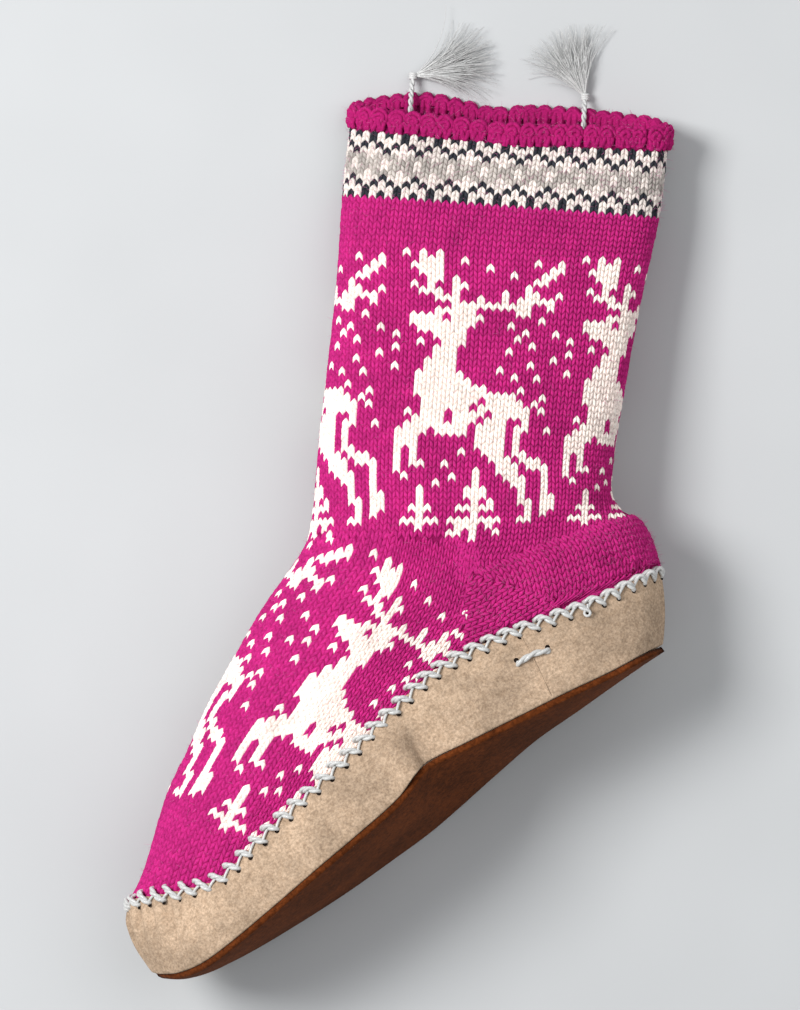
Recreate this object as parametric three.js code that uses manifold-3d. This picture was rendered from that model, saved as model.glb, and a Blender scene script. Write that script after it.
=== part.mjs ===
// A wool slipper: a knitted sock with a suede sole sewn on, empty and slack, lying on its side.
//
// Millimetres. The slipper's own frame has x from the toe to the heel, y from the sole up to the
// collar, and z from the far side, which is underneath, to the near side. Sections are worked out
// in that frame, every skin is pressed flat where it meets the floor, and the group at the end
// turns the whole slipper onto that floor, with +Z up.

import * as THREE from 'three';
import Module from 'manifold-3d';
import { mergeVertices } from 'three/addons/utils/BufferGeometryUtils.js';

const wasm = await Module();
wasm.setup();

// Driving sizes
const KNIT = 3.0;            // wall of the stranded knit
const SUEDE = 1.6;           // wall of the side suede
const OUTSOLE = 2.2;         // brown suede underfoot
const INSOLE = 3.0;          // felt
const GAP = 0.3;             // between pieces that touch
const EDGE_BEVEL = 0.7;      // the side suede's upper edge is cut back this far on its face
const HEM = 5;               // from the sole's edge up to the knit's edge, inside the side suede
const RIM_HEIGHT = 7.5;      // rib round the collar
const RIM_PROUD = 1.1;
const BAND_HEIGHT = 28;      // patterned band below the rim
const BAND_PROUD = 0.5;
const STEP = 0.8;            // height over which a raised band rises from the wall
const LEAN_DEG = 7.2;        // how far the sole's normal dips below level as the slipper lies
const BALL_EDGE = 39.4;      // from the middle to the floor, at the ball of the foot
const SOLE_SAG = 1.5;        // the outsole hangs this far below its edges along the middle
const ROUND_END = 24;        // toe and heel are round where the sole is narrower than this
const END_INSET = 1.6;       // an inset plate stops this much further in at toe and heel
const HALF_STEPS = 13;       // facets from the ridge to one edge of a section

// The foot, a row for each section from the toe to the back of the heel. sole: the edge where
// the side suede meets the outsole, near and far heights apart because the arch side lifts.
// seam: the side suede's upper edge, and swell how far its face stands out between the two.
// ridge: the top of the instep. girth: the knit's greatest half width. peak: 0 for a round
// section, 1 for straight sides up to the ridge.
const FOOT = table(
  'soleX soleW nearY farY seamX seamW seamY swell ridgeX ridgeY girth peak', [
    [-1, 0, 15.5, 15.5, 7, 0, 44.2, 2.9, 7, 44.2, 0, 0],
    [2, 8, 12, 13, 11, 11, 42.3, 2.6, 13, 46, 11, 0.1],
    [9, 16, 7.1, 9.6, 19, 19.5, 37.4, 2.2, 22, 52, 18, 0.2],
    [20, 24, 3.6, 7, 30, 26, 31.5, 1.8, 33, 60.8, 25, 0.3],
    [36, 31.5, 2.7, 5.2, 45, 31.5, 26, 1.4, 46, 71, 31, 0.4],
    [58, 37, 3.4, 3.8, 66, 35.5, 28.4, 1.2, 62, 79.8, 35, 0.45],
    [80, 39.7, 4.8, 2.8, 86, 37, 30.6, 1.2, 79, 89.8, 36.5, 0.45],
    [101, 40, 6.2, 2.5, 106, 37.5, 32.9, 1.2, 95, 97.5, 37, 0.45],
    [121, 38, 8.4, 2.2, 125, 37, 35.9, 1.2, 109, 104, 36.5, 0.4],
    [138, 35.5, 13.4, 3.1, 143, 35.5, 39.2, 1.2, 121, 109, 36, 0.35],
    [156, 32, 11, 4.4, 162, 33, 41.4, 1.2, 130.5, 112.2, 35.5, 0.25],
    [178, 29, 7.6, 5.8, 185, 31, 38.9, 1.2, 139, 114.7, 35, 0.15],
    [200, 26.5, 4.1, 5, 208, 28.5, 33.2, 1.2, 145.5, 117, 34, 0.05],
    [219, 22, 1, 4.2, 231, 24, 27.4, 1.2, 150.5, 119, 33, 0],
    [234, 14, 0, 2.6, 249, 15.5, 25.6, 1.2, 154, 121.7, 32.5, 0],
    [242, 0, 0.3, 0.3, 259.3, 0, 25.6, 1.2, 157.5, 125.3, 32, 0],
  ]);

// The heel and the shaft, from just above the heel's seam up to the collar. girth is the half
// thickness of the slack tube, flat its section: 2 is an ellipse and more is flatter. short and
// long are how far the near side stops before the middle of the section, and the underneath
// goes past it.
const SHAFT = table(
  'frontX frontY backX backY girth flat short long', [
    [157.5, 125.3, 259.3, 25.6, 32, 2, 0, 0],
    [161.5, 129.5, 263, 36, 31.5, 2, 0, 0],
    [165.5, 134, 264.3, 46.5, 30.5, 2.05, 0, 0],
    [170.3, 139.8, 260.3, 59.7, 28.5, 2.1, 0, 0],
    [181, 152, 270.3, 73.3, 26, 2.2, 0, 0],
    [201, 174, 291, 94, 22, 2.35, 0.3, 0.8],
    [224.5, 200.5, 317, 118.7, 18.5, 2.45, 1.1, 2.4],
    [248, 229, 344, 142.6, 15.5, 2.5, 2.4, 4.8],
    [270.6, 254, 368, 168.5, 13, 2.4, 3.9, 7.8],
  ]);

// Waves of the slack rim: side 1 is near, across is a share of the collar's width from its front.
const WAVES = table('side across reach out', [
  [1, 0.52, 0.2, -1.8],
  [-1, 0.2, 0.13, 2.2],
  [-1, 0.42, 0.11, -2.4],
]);

const HEEL = FOOT.length - 1;
const COLLAR = SHAFT.length - 1;

// The fold in the side suede at the arch: the front part swells out over the part behind it.
const FOLD = table('x reach out', [[129, 8, 3], [143, 6, -1.4]]);

// Two frayed threads knotted through the far side of the rim, left where a tie joined the pair.
// across: share of the collar's width from its front. out: from the rim to the knot. turn: a
// lock's direction, degrees to the front from straight out of the collar.
const TUFTS = [
  { name: 'front_tuft', across: 0.178, out: 8, locks: table('turn length', [
    [-89, 35], [-82, 34], [-74, 34], [-66, 30], [-58, 32], [-52, 27]]) },
  { name: 'back_tuft', across: 0.728, out: 5.7, locks: table('turn length', [
    [53, 29], [45, 31], [35, 31], [23, 32], [11, 32], [2, 28]]) },
];
const THREAD = 0.9;          // half width of the doubled thread below the knot
const STEM_START = -0.7;     // from the rim's curve, which its facets cut short by a millimetre
const KNOT = 2.1;            // knot's radius
const LOCK = 1.3;            // half width of a lock where it leaves the knot

const COLOURS = {
  wool: { color: 0xb52a72, roughness: 0.95, metalness: 0 },
  side_suede: { color: 0xb59c7c, roughness: 0.95, metalness: 0 },
  sole_suede: { color: 0x4a2413, roughness: 0.9, metalness: 0 },
  felt: { color: 0xd8cfbd, roughness: 1, metalness: 0 },
  thread: { color: 0xd9dad6, roughness: 0.6, metalness: 0 },
};

function table(columns, data) {
  const names = columns.split(' ');
  return data.map((values) => Object.fromEntries(names.map((name, n) => [name, values[n]])));
}

// The rows of a table as smooth curves: the value of a column at a row number with a fraction.
function along(rows, row, column) {
  const n = Math.min(Math.floor(row), rows.length - 2);
  const f = row - n;
  const at = (k) => rows[THREE.MathUtils.clamp(k, 0, rows.length - 1)][column];
  const [a, b, c, d] = [at(n - 1), at(n), at(n + 1), at(n + 2)];
  return b + 0.5 * f * (c - a + f * (2 * a - 5 * b + 4 * c - d + f * (3 * (b - c) + d - a)));
}

const lean = THREE.MathUtils.degToRad(LEAN_DEG);
const FLOOR = new THREE.Plane(
  new THREE.Vector3(0, -Math.sin(lean), Math.cos(lean)), BALL_EDGE * Math.cos(lean));

// A point no lower than this far above the floor. A skin inside another is pressed up with it.
function pressed(point, height) {
  const short = height - FLOOR.distanceToPoint(point);
  return short > 0 ? point.clone().addScaledVector(FLOOR.normal, short) : point;
}

// The side suede's outer face, from the sole's edge (rise 0) to the seam (rise 1). side is 1 on
// the near side and -1 on the far side.
function sidePoint(row, rise, side) {
  const at = (column) => along(FOOT, row, column);
  const low = new THREE.Vector3(at('soleX'), at(side > 0 ? 'nearY' : 'farY'), at('soleW'));
  const high = new THREE.Vector3(at('seamX'), at('seamY'), at('seamW'));
  const point = low.lerp(high, rise);
  const reach = Math.hypot(point.z, 12);
  const out = at('swell') * Math.sin(Math.PI * rise) + foldOut(point.x, rise, side);
  const end = row < HEEL / 2 ? -1 : 1;
  point.x += end * out * (12 / reach);
  point.z += out * (point.z / reach);
  point.z *= side;
  return point;
}

function foldOut(x, rise, side) {
  if (side < 0) return 0;
  const swell = FOLD.reduce((sum, f) => sum + f.out * Math.exp(-(((x - f.x) / f.reach) ** 2)), 0);
  return swell * (1 - rise) ** 0.7;
}

// The outward direction of the side suede, without any slope across the middle at its two ends.
function sideNormal(row, rise, side) {
  const d = 0.02;
  const [r0, r1] = [Math.max(row - d, 0), Math.min(row + d, HEEL)];
  const [v0, v1] = [Math.max(rise - d, 0), Math.min(rise + d, 1)];
  const ahead = sidePoint(r1, rise, side).sub(sidePoint(r0, rise, side));
  const up = sidePoint(row, v1, side).sub(sidePoint(row, v0, side));
  const normal = ahead.cross(up).multiplyScalar(side);
  if (row === 0 || row === HEEL) normal.z = 0;
  return normal.normalize();
}

function sideSkin(row, rise, side, depth) {
  return sidePoint(row, rise, side).addScaledVector(sideNormal(row, rise, side), -depth);
}

const KNIT_DEPTH = SUEDE + 2 * GAP; // how far inside the side suede's face the knit lies

function sideHeight(row, side) {
  return sidePoint(row, 0, side).distanceTo(sidePoint(row, 1, side));
}

// One section of the knit over the foot, from the near seam (k = -1) over the ridge to the far
// seam (k = 1).
function footPoint(row, k) {
  const side = k > 0 ? -1 : 1;
  const end = sideSkin(row, 1, side, KNIT_DEPTH);
  if (row === 0) return end;
  const at = (column) => along(FOOT, row, column);
  const half = Math.abs(end.z);
  const girth = Math.max(at('girth'), half);
  const last = Math.PI - Math.asin(half / girth);
  const angle = Math.abs(k) * last;
  const round = (1 - Math.cos(angle)) / (1 - Math.cos(last));
  const down = THREE.MathUtils.lerp(round, Math.abs(k), at('peak'));
  const out = THREE.MathUtils.lerp(girth * Math.sin(angle), half * Math.abs(k), at('peak'));
  return new THREE.Vector3(
    THREE.MathUtils.lerp(at('ridgeX'), end.x, down),
    THREE.MathUtils.lerp(at('ridgeY'), end.y, down),
    side * out);
}

// The shaft's own directions at the collar: across it from front to back, and out along it.
const ACROSS = new THREE.Vector3(
  SHAFT[COLLAR].backX - SHAFT[COLLAR].frontX, SHAFT[COLLAR].backY - SHAFT[COLLAR].frontY, 0)
  .normalize();
const OUTWARD = new THREE.Vector3(-ACROSS.y, ACROSS.x, 0);

// One closed section of the heel or the shaft. k runs from the back (-1), over the near side, the
// front (0) and the far side, to the back again (1).
function shaftPoint(row, k) {
  const at = (column) => along(SHAFT, row, column);
  const angle = Math.PI * Math.abs(k);
  const power = 2 / at('flat');
  const cos = Math.cos(angle);
  const down = (1 - Math.sign(cos) * Math.abs(cos) ** power) / 2;
  const out = Math.abs(k) === 1 ? 0 : Math.sin(angle) ** power;
  const side = k > 0 ? -1 : 1;
  const point = new THREE.Vector3(
    THREE.MathUtils.lerp(at('frontX'), at('backX'), down),
    THREE.MathUtils.lerp(at('frontY'), at('backY'), down),
    side * out * at('girth'));
  const slack = side > 0 ? -at('short') : at('long');
  return point.addScaledVector(OUTWARD, out * (slack + waveOut(row, down, side)));
}

// The rim's waves fade away over the last section of the shaft.
function waveOut(row, across, side) {
  const fade = Math.max(row - COLLAR + 1, 0) ** 2;
  return fade * WAVES.filter((wave) => wave.side === side).reduce(
    (sum, wave) => sum + wave.out * Math.exp(-(((across - wave.across) / wave.reach) ** 2)), 0);
}

// A closed skin from quads of corner points. Points in one place are one corner, and a quad that
// shrinks to a line is left out.
class Skin {
  constructor() {
    this.corners = [];
    this.numbers = new Map();
    this.faces = [];
  }

  corner(point) {
    const key = point.toArray().map((value) => (Math.round(value * 1e4) + 0)).join();
    if (!this.numbers.has(key)) {
      this.numbers.set(key, this.corners.length);
      this.corners.push(point);
    }
    return this.numbers.get(key);
  }

  triangle(a, b, c) {
    const face = [a, b, c].map((point) => this.corner(point));
    if (new Set(face).size === 3) this.faces.push(face);
  }

  quad(a, b, c, d) {
    this.triangle(a, b, c);
    this.triangle(a, c, d);
  }

  // Quads between the neighbouring points of each two neighbouring lines.
  sheet(lines, inward = false) {
    for (let i = 0; i + 1 < lines.length; i += 1) {
      for (let j = 0; j + 1 < lines[i].length; j += 1) {
        const quad = [lines[i][j], lines[i + 1][j], lines[i + 1][j + 1], lines[i][j + 1]];
        this.quad(...(inward ? quad.reverse() : quad));
      }
    }
  }

  normalAt() {
    const sums = this.corners.map(() => new THREE.Vector3());
    for (const face of this.faces) {
      const [a, b, c] = face.map((n) => this.corners[n]);
      const normal = b.clone().sub(a).cross(c.clone().sub(a));
      face.forEach((n) => sums[n].add(normal));
    }
    return (point) => sums[this.corner(point)].clone().normalize();
  }

  geometry() {
    const geometry = new THREE.BufferGeometry();
    const positions = this.corners.flatMap((point) => point.toArray());
    geometry.setAttribute('position', new THREE.Float32BufferAttribute(positions, 3));
    geometry.setIndex(this.faces.flat());
    geometry.computeVertexNormals();
    return geometry;
  }
}

// Rows of the foot that get a section: closer together round the toe and beside the fold.
function footRows() {
  const rows = [];
  for (let row = 0; row < HEEL; row += row >= 8 && row < 9.5 ? 0.25 : 0.5) rows.push(row);
  return [...rows, HEEL];
}

// Rows of the shaft that get a section, each with how far its outside stands proud of the wall.
function shaftRows() {
  const last = SHAFT[COLLAR];
  const before = SHAFT[COLLAR - 1];
  const length = Math.hypot(last.frontX - before.frontX, last.frontY - before.frontY);
  const below = (distance) => COLLAR - distance / length;
  const plain = [];
  for (let row = 0.5; row < below(RIM_HEIGHT + BAND_HEIGHT) - 0.1; row += 0.5) plain.push(row);
  return [
    ...plain.map((row) => ({ row, proud: 0 })),
    { row: below(RIM_HEIGHT + BAND_HEIGHT + STEP), proud: 0 },
    { row: below(RIM_HEIGHT + BAND_HEIGHT), proud: BAND_PROUD },
    { row: below(RIM_HEIGHT + BAND_HEIGHT / 2), proud: BAND_PROUD },
    { row: below(RIM_HEIGHT + STEP), proud: BAND_PROUD },
    { row: below(RIM_HEIGHT), proud: RIM_PROUD },
    { row: below(RIM_HEIGHT * 0.2), proud: RIM_PROUD },
    { row: COLLAR, proud: RIM_PROUD * 0.4 },
  ];
}

// The sock: one wall from the collar to the toe, open at the collar and underneath the foot. It
// runs on down inside the side suede, almost to the sole.
function makeUpper() {
  const share = (n) => n / HALF_STEPS;
  const steps = Array.from({ length: 2 * HALF_STEPS + 1 }, (_, n) => share(n - HALF_STEPS));
  const foot = footRows();
  const rings = [
    ...foot.map((row) => ({ proud: 0, points: steps.map((k) => footPoint(row, k)) })),
    ...shaftRows().map(({ row, proud }) => ({
      proud, points: steps.map((k) => shaftPoint(row, k)) })),
  ];
  const hems = [1, -1].map((side) => foot.map((row) => [0, 0.33, 0.67, 1].map((down) => {
    const rise = THREE.MathUtils.lerp(1, HEM / sideHeight(row, side), down);
    return sideSkin(row, rise, side, KNIT_DEPTH);
  })));

  const wall = new Skin();
  wall.sheet(rings.map((ring) => ring.points));
  wall.sheet(hems[0].map((line) => [...line].reverse()));
  wall.sheet(hems[1]);
  const normal = wall.normalAt();
  const under = (point) => (hemPoints.has(point) ? KNIT_DEPTH : 0);
  const hemPoints = new Set(hems.flat(2));
  const outer = (point, proud = 0) => pressed(
    point.clone().addScaledVector(normal(point), proud), under(point));
  const inner = (point) => pressed(
    point.clone().addScaledVector(normal(point), -KNIT), under(point) + KNIT);

  // the ends of a foot section are the first points of its hems, pressed to the same height
  rings.slice(0, foot.length).forEach(({ points }, n) => {
    points[0] = hems[0][n][0];
    points[points.length - 1] = hems[1][n][0];
  });
  const skin = new Skin();
  const lines = { outer: [], inner: [] };
  for (const { points, proud } of rings) {
    lines.outer.push(points.map((point) => outer(point, proud)));
    lines.inner.push(points.map((point) => inner(point)));
  }
  skin.sheet(lines.outer);
  skin.sheet(lines.inner, true);
  skin.sheet([lines.outer.at(-1), lines.inner.at(-1)]);
  hems.forEach((hem, n) => {
    const out = hem.map((line) => line.map((point) => outer(point)));
    const within = hem.map((line) => line.map((point) => inner(point)));
    skin.sheet(out, n === 0);
    skin.sheet(within, n === 1);
    skin.sheet([out.map((line) => line.at(-1)), within.map((line) => line.at(-1))], n === 1);
  });
  return skin.geometry();
}

// The side suede: a band round the foot from the sole's edge up to the seam.
function makeSideWall() {
  const rows = footRows();
  const loop = [
    ...rows.map((row) => [row, 1]),
    ...rows.slice(1, -1).reverse().map((row) => [row, -1]),
    [0, 1],
  ];
  const skin = new Skin();
  const sections = loop.map(([row, side]) => {
    const hem = HEM / sideHeight(row, side);
    const rises = [0, hem, 0.33, 0.55, 0.78, 1];
    const inner = rises.map((rise) => pressed(sideSkin(row, rise, side, SUEDE), SUEDE));
    rises[rises.length - 1] -= EDGE_BEVEL / sideHeight(row, side);
    const outer = rises.map((rise) => pressed(sidePoint(row, rise, side), 0));
    return [...outer, ...inner.reverse(), outer[0]];
  });
  skin.sheet(sections);
  return skin.geometry();
}

// A plate that fills the sole's outline: inset from its edge, from one height to another above
// the line from edge to edge.
function makePlate(rows, inset, bottom, top, floor) {
  const across = [-1, -0.75, -0.4, 0, 0.4, 0.75, 1];
  const line = (row, height) => {
    const near = sidePoint(row, 0, 1);
    const far = sidePoint(row, 0, -1);
    const half = (near.z - far.z) / 2;
    const share = Math.max(half - inset, 0) / Math.max(half, 1);
    const end = row < HEEL / 2 ? 1 : -1;
    const shift = end * inset * END_INSET * Math.max(0, 1 - half / ROUND_END);
    return across.map((q) => {
      const point = far.clone().lerp(near, (1 + q * share) / 2);
      point.x += shift;
      point.y += height - SOLE_SAG * (1 - (q * share) ** 2) * Math.min(half / ROUND_END, 1);
      return pressed(point, floor);
    });
  };
  const skin = new Skin();
  const low = rows.map((row) => line(row, bottom));
  const high = rows.map((row) => line(row, top));
  skin.sheet(low);
  skin.sheet(high, true);
  for (const n of [0, across.length - 1]) {
    skin.sheet([low.map((points) => points[n]), high.map((points) => points[n])], n > 0);
  }
  for (const n of [0, rows.length - 1]) skin.sheet([high[n], low[n]], n > 0);
  return skin.geometry();
}

function solidOf(geometry) {
  const bare = geometry.clone();
  bare.deleteAttribute('normal');
  bare.deleteAttribute('uv');
  const merged = mergeVertices(bare, 1e-4);
  return new wasm.Manifold(new wasm.Mesh({
    numProp: 3,
    vertProperties: Float32Array.from(merged.attributes.position.array),
    triVerts: Uint32Array.from(merged.index.array),
  }));
}

function geometryOf(solid) {
  const mesh = solid.getMesh();
  const geometry = new THREE.BufferGeometry();
  geometry.setAttribute('position', new THREE.BufferAttribute(mesh.vertProperties, 3));
  geometry.setIndex(new THREE.BufferAttribute(mesh.triVerts, 1));
  geometry.computeVertexNormals();
  return geometry;
}

// A lock or thread: a round rod from one point through the next ones, with a radius at each.
function makeRod(points, radii) {
  const sides = 6;
  const direction = points.at(-1).clone().sub(points[0]).normalize();
  const flat = FLOOR.normal.clone().cross(direction).normalize();
  const up = direction.clone().cross(flat);
  const rings = points.map((point, n) => Array.from({ length: sides + 1 }, (_, k) => {
    const angle = 2 * Math.PI * (k % sides) / sides;
    return point.clone()
      .addScaledVector(flat, radii[n] * Math.cos(angle))
      .addScaledVector(up, radii[n] * Math.sin(angle));
  }));
  const skin = new Skin();
  const cap = (n) => rings[n].map(() => points[n]);
  skin.sheet([cap(0), ...rings, cap(rings.length - 1)], true);
  return skin.geometry();
}

// One tuft: a doubled thread that stands on the far side's rim, its knot, and the frayed locks.
// It lies along the floor just past the collar.
function makeTuft({ across, out, locks }) {
  const collar = SHAFT[COLLAR];
  const width = Math.hypot(collar.backX - collar.frontX, collar.backY - collar.frontY);
  const cos = 1 - 2 * across;
  const k = Math.acos(Math.sign(cos) * Math.abs(cos) ** (collar.flat / 2)) / Math.PI;
  const rim = shaftPoint(COLLAR, k);
  const middle = new THREE.Vector3(collar.frontX, collar.frontY, 0)
    .addScaledVector(ACROSS, across * width);
  const foot = middle.clone().addScaledVector(OUTWARD, rim.clone().sub(middle).dot(OUTWARD));
  const place = (ahead, aside, height) => {
    const point = foot.clone().addScaledVector(OUTWARD, ahead).addScaledVector(ACROSS, aside);
    return point.addScaledVector(FLOOR.normal, height - FLOOR.distanceToPoint(point));
  };
  const rise = KNIT / 2 + 0.6;
  const knot = place(out, 0, rise + 0.6);
  const stem = makeRod(
    [place(STEM_START, 0, rise), place(out / 2, 0.2, rise), knot], [THREAD, THREAD, THREAD]);
  let solid = solidOf(stem).add(solidOf(new THREE.IcosahedronGeometry(KNOT, 1)
    .translate(knot.x, knot.y, knot.z)));
  locks.forEach(({ turn, length }, n) => {
    const angle = THREE.MathUtils.degToRad(turn);
    const reach = (share) => place(
      out + length * share * Math.cos(angle),
      -length * share * Math.sin(angle),
      rise + 0.6 + (n % 3 - 1) * 1.1 * share);
    const radii = [LOCK * 0.8, LOCK, LOCK * 0.9, LOCK * 0.3];
    const rod = makeRod([knot, reach(0.4), reach(0.75), reach(1)], radii);
    solid = solid.add(solidOf(rod));
  });
  return geometryOf(solid);
}

function piece(name, geometry, finish) {
  const mesh = new THREE.Mesh(geometry, new THREE.MeshStandardMaterial(COLOURS[finish]));
  mesh.name = name;
  return mesh;
}

const slipper = new THREE.Group();
const plateRows = footRows();
slipper.add(piece('upper', makeUpper(), 'wool'));
slipper.add(piece('side_wall', makeSideWall(), 'side_suede'));
slipper.add(piece('outsole', makePlate(plateRows, 0, -GAP - OUTSOLE, -GAP, 0), 'sole_suede'));
const insoleRows = plateRows.filter((row) => row >= 0.5 && row <= HEEL - 0.5 && row * 2 % 1 === 0);
slipper.add(piece('insole', makePlate(
  insoleRows, SUEDE + 5 * GAP, 1.5 * GAP, 1.5 * GAP + INSOLE, SUEDE + 2 * GAP), 'felt'));
TUFTS.forEach((tuft) => slipper.add(piece(tuft.name, makeTuft(tuft), 'thread')));
slipper.rotation.x = -lean;

// The origin is under the middle of the whole, on the floor.
slipper.updateMatrixWorld(true);
const box = new THREE.Box3().setFromObject(slipper, true);
const middle = box.getCenter(new THREE.Vector3());
slipper.position.set(-middle.x, -middle.y, -box.min.z);

const part = new THREE.Group();
part.add(slipper);
export default part;
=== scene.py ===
"""A wool slipper: a stranded-knit sock with a suede sole sewn on, lying on its side.

Sizes in the tables are millimetres in the slipper's own frame: x from the toe to the heel, y from
the sole up to the collar, z from the far side to the near side. `placed` turns them into the row
frame in metres.
"""

import math

import bmesh
import bpy
import numpy as np
from bpy.props import FloatProperty, FloatVectorProperty, IntProperty, PointerProperty
from bpy.types import Operator, Panel, PropertyGroup
from mathutils import Matrix, Vector


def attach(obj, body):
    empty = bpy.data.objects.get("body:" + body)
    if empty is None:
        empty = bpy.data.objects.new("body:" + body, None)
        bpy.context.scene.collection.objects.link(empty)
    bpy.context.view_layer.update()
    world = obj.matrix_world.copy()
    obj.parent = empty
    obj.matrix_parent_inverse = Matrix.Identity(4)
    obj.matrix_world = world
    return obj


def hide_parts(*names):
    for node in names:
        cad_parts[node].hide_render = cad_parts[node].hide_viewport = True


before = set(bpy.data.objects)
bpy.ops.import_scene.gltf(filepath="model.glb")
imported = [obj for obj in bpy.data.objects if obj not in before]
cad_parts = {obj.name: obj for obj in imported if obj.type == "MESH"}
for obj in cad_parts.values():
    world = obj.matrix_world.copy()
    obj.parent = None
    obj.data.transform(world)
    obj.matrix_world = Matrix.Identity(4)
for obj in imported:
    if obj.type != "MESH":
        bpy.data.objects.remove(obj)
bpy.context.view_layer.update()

bl_info = {
    "name": "Wool slipper",
    "version": (1, 0, 0),
    "blender": (4, 5, 0),
    "location": "3D View > Sidebar > Slipper",
    "description": "Builds a knitted wool slipper with a sewn-on suede sole",
    "category": "Add Mesh",
}


def length(name, description, default):
    """A setting in metres."""
    return FloatProperty(name=name, description=description, default=default, min=0, precision=5,
                         unit="LENGTH")


def colour(name, description, *default):
    """A colour setting."""
    return FloatVectorProperty(name=name, description=description, default=default, size=3, min=0, max=1,
                               subtype="COLOR")


def power(name, description, default):
    """A setting in watts."""
    return FloatProperty(name=name, description=description, default=default, min=0, unit="POWER")


class SlipperSizes(PropertyGroup):
    stitch_rise: length("Stitch rise", "How far a stitch's leg stands out of the fabric", 0.00075)
    stitch_crown: length("Stitch crown", "The rounded top of a stitch's leg", 0.00025)
    stitch_unevenness: FloatProperty(
        name="Stitch unevenness", description="How much the rise differs from leg to leg", default=0.2,
        min=0, max=1, subtype="FACTOR")
    stitch_seed: IntProperty(name="Stitch seed", description="Which legs are the high ones", default=7)
    rim_yarn: length("Rim yarn", "Radius of the yarn of the rolled rim", 0.00102)
    hole_pitch: length("Hole pitch", "From one whip stitch to the next along the seam", 0.0073)
    cord: length("Cord", "Radius of one strand of the sewing cord", 0.00078)
    lap_thread: length("Lap edge", "Radius of the raised edge of the suede's joint", 0.00022)
    fray: length("Frayed thread", "Radius of a loose thread of the tufts", 0.00016)
    fray_threads: IntProperty(name="Threads of a tuft", description="Loose threads in each tuft",
                              default=260, min=1)
    fibre: length("Wool fibre", "Radius of a loose fibre of the wool", 0.00006)
    fibres: IntProperty(name="Fibres of a piece", description="Loose fibres on each knitted piece",
                        default=2600, min=1)


class SlipperColours(PropertyGroup):
    magenta: colour("Magenta yarn", "The ground of the knit", 0.47, 0.021, 0.175)
    white: colour("White yarn", "The deer, the trees and the snow", 0.97, 0.83, 0.76)
    band_white: colour("Band's white yarn", "The white of the band under the rim", 0.78, 0.70, 0.65)
    charcoal: colour("Charcoal yarn", "The band's dark stitches", 0.032, 0.034, 0.042)
    grey: colour("Grey yarn", "The middle of the band", 0.47, 0.425, 0.39)
    # Darker than the magenta yarn: painted shade in the gaps between the stitches and inside the sock
    lining: colour("Inside of the knit", "The fabric behind the stitches", 0.25, 0.008, 0.085)
    rim: colour("Rim yarn", "The rolled rim", 0.36, 0.012, 0.12)
    side: colour("Side suede", "The suede round the foot", 0.50, 0.365, 0.255)
    side_dark: colour("Side suede, dark", "The suede where its nap lies the other way", 0.39, 0.275, 0.185)
    sole: colour("Sole suede", "The outsole", 0.135, 0.034, 0.008)
    sole_dark: colour("Sole suede, dark", "The outsole where its nap lies the other way", 0.075, 0.019, 0.005)
    felt: colour("Felt", "The insole", 0.66, 0.6, 0.5)
    felt_dark: colour("Felt, dark", "The insole's mottling", 0.5, 0.45, 0.36)
    cord: colour("Sewing cord", "The whip stitches", 0.56, 0.56, 0.545)
    fray: colour("Frayed thread", "The tufts", 0.62, 0.62, 0.61)
    fibre: colour("Wool fibre", "The loose fibres of the knit", 0.62, 0.12, 0.33)


class SlipperStage(PropertyGroup):
    floor: colour("Floor", "The floor under the slipper", 0.5, 0.51, 0.515)
    key: power("Key light", "Power of the stronger light", 46)
    fill: power("Fill light", "Power of the softer light", 6)
    sky: FloatProperty(name="Sky", description="Strength of the light from all round", default=0.5, min=0)


# The shape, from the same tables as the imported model

FOOT_COLUMNS = "soleX soleW nearY farY seamX seamW seamY swell ridgeX ridgeY girth peak".split()
FOOT = np.array([
    [-1, 0, 15.5, 15.5, 7, 0, 44.2, 2.9, 7, 44.2, 0, 0],
    [2, 8, 12, 13, 11, 11, 42.3, 2.6, 13, 46, 11, 0.1],
    [9, 16, 7.1, 9.6, 19, 19.5, 37.4, 2.2, 22, 52, 18, 0.2],
    [20, 24, 3.6, 7, 30, 26, 31.5, 1.8, 33, 60.8, 25, 0.3],
    [36, 31.5, 2.7, 5.2, 45, 31.5, 26, 1.4, 46, 71, 31, 0.4],
    [58, 37, 3.4, 3.8, 66, 35.5, 28.4, 1.2, 62, 79.8, 35, 0.45],
    [80, 39.7, 4.8, 2.8, 86, 37, 30.6, 1.2, 79, 89.8, 36.5, 0.45],
    [101, 40, 6.2, 2.5, 106, 37.5, 32.9, 1.2, 95, 97.5, 37, 0.45],
    [121, 38, 8.4, 2.2, 125, 37, 35.9, 1.2, 109, 104, 36.5, 0.4],
    [138, 35.5, 13.4, 3.1, 143, 35.5, 39.2, 1.2, 121, 109, 36, 0.35],
    [156, 32, 11, 4.4, 162, 33, 41.4, 1.2, 130.5, 112.2, 35.5, 0.25],
    [178, 29, 7.6, 5.8, 185, 31, 38.9, 1.2, 139, 114.7, 35, 0.15],
    [200, 26.5, 4.1, 5, 208, 28.5, 33.2, 1.2, 145.5, 117, 34, 0.05],
    [219, 22, 1, 4.2, 231, 24, 27.4, 1.2, 150.5, 119, 33, 0],
    [234, 14, 0, 2.6, 249, 15.5, 25.6, 1.2, 154, 121.7, 32.5, 0],
    [242, 0, 0.3, 0.3, 259.3, 0, 25.6, 1.2, 157.5, 125.3, 32, 0],
])
SHAFT_COLUMNS = "frontX frontY backX backY girth flat short long".split()
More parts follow.
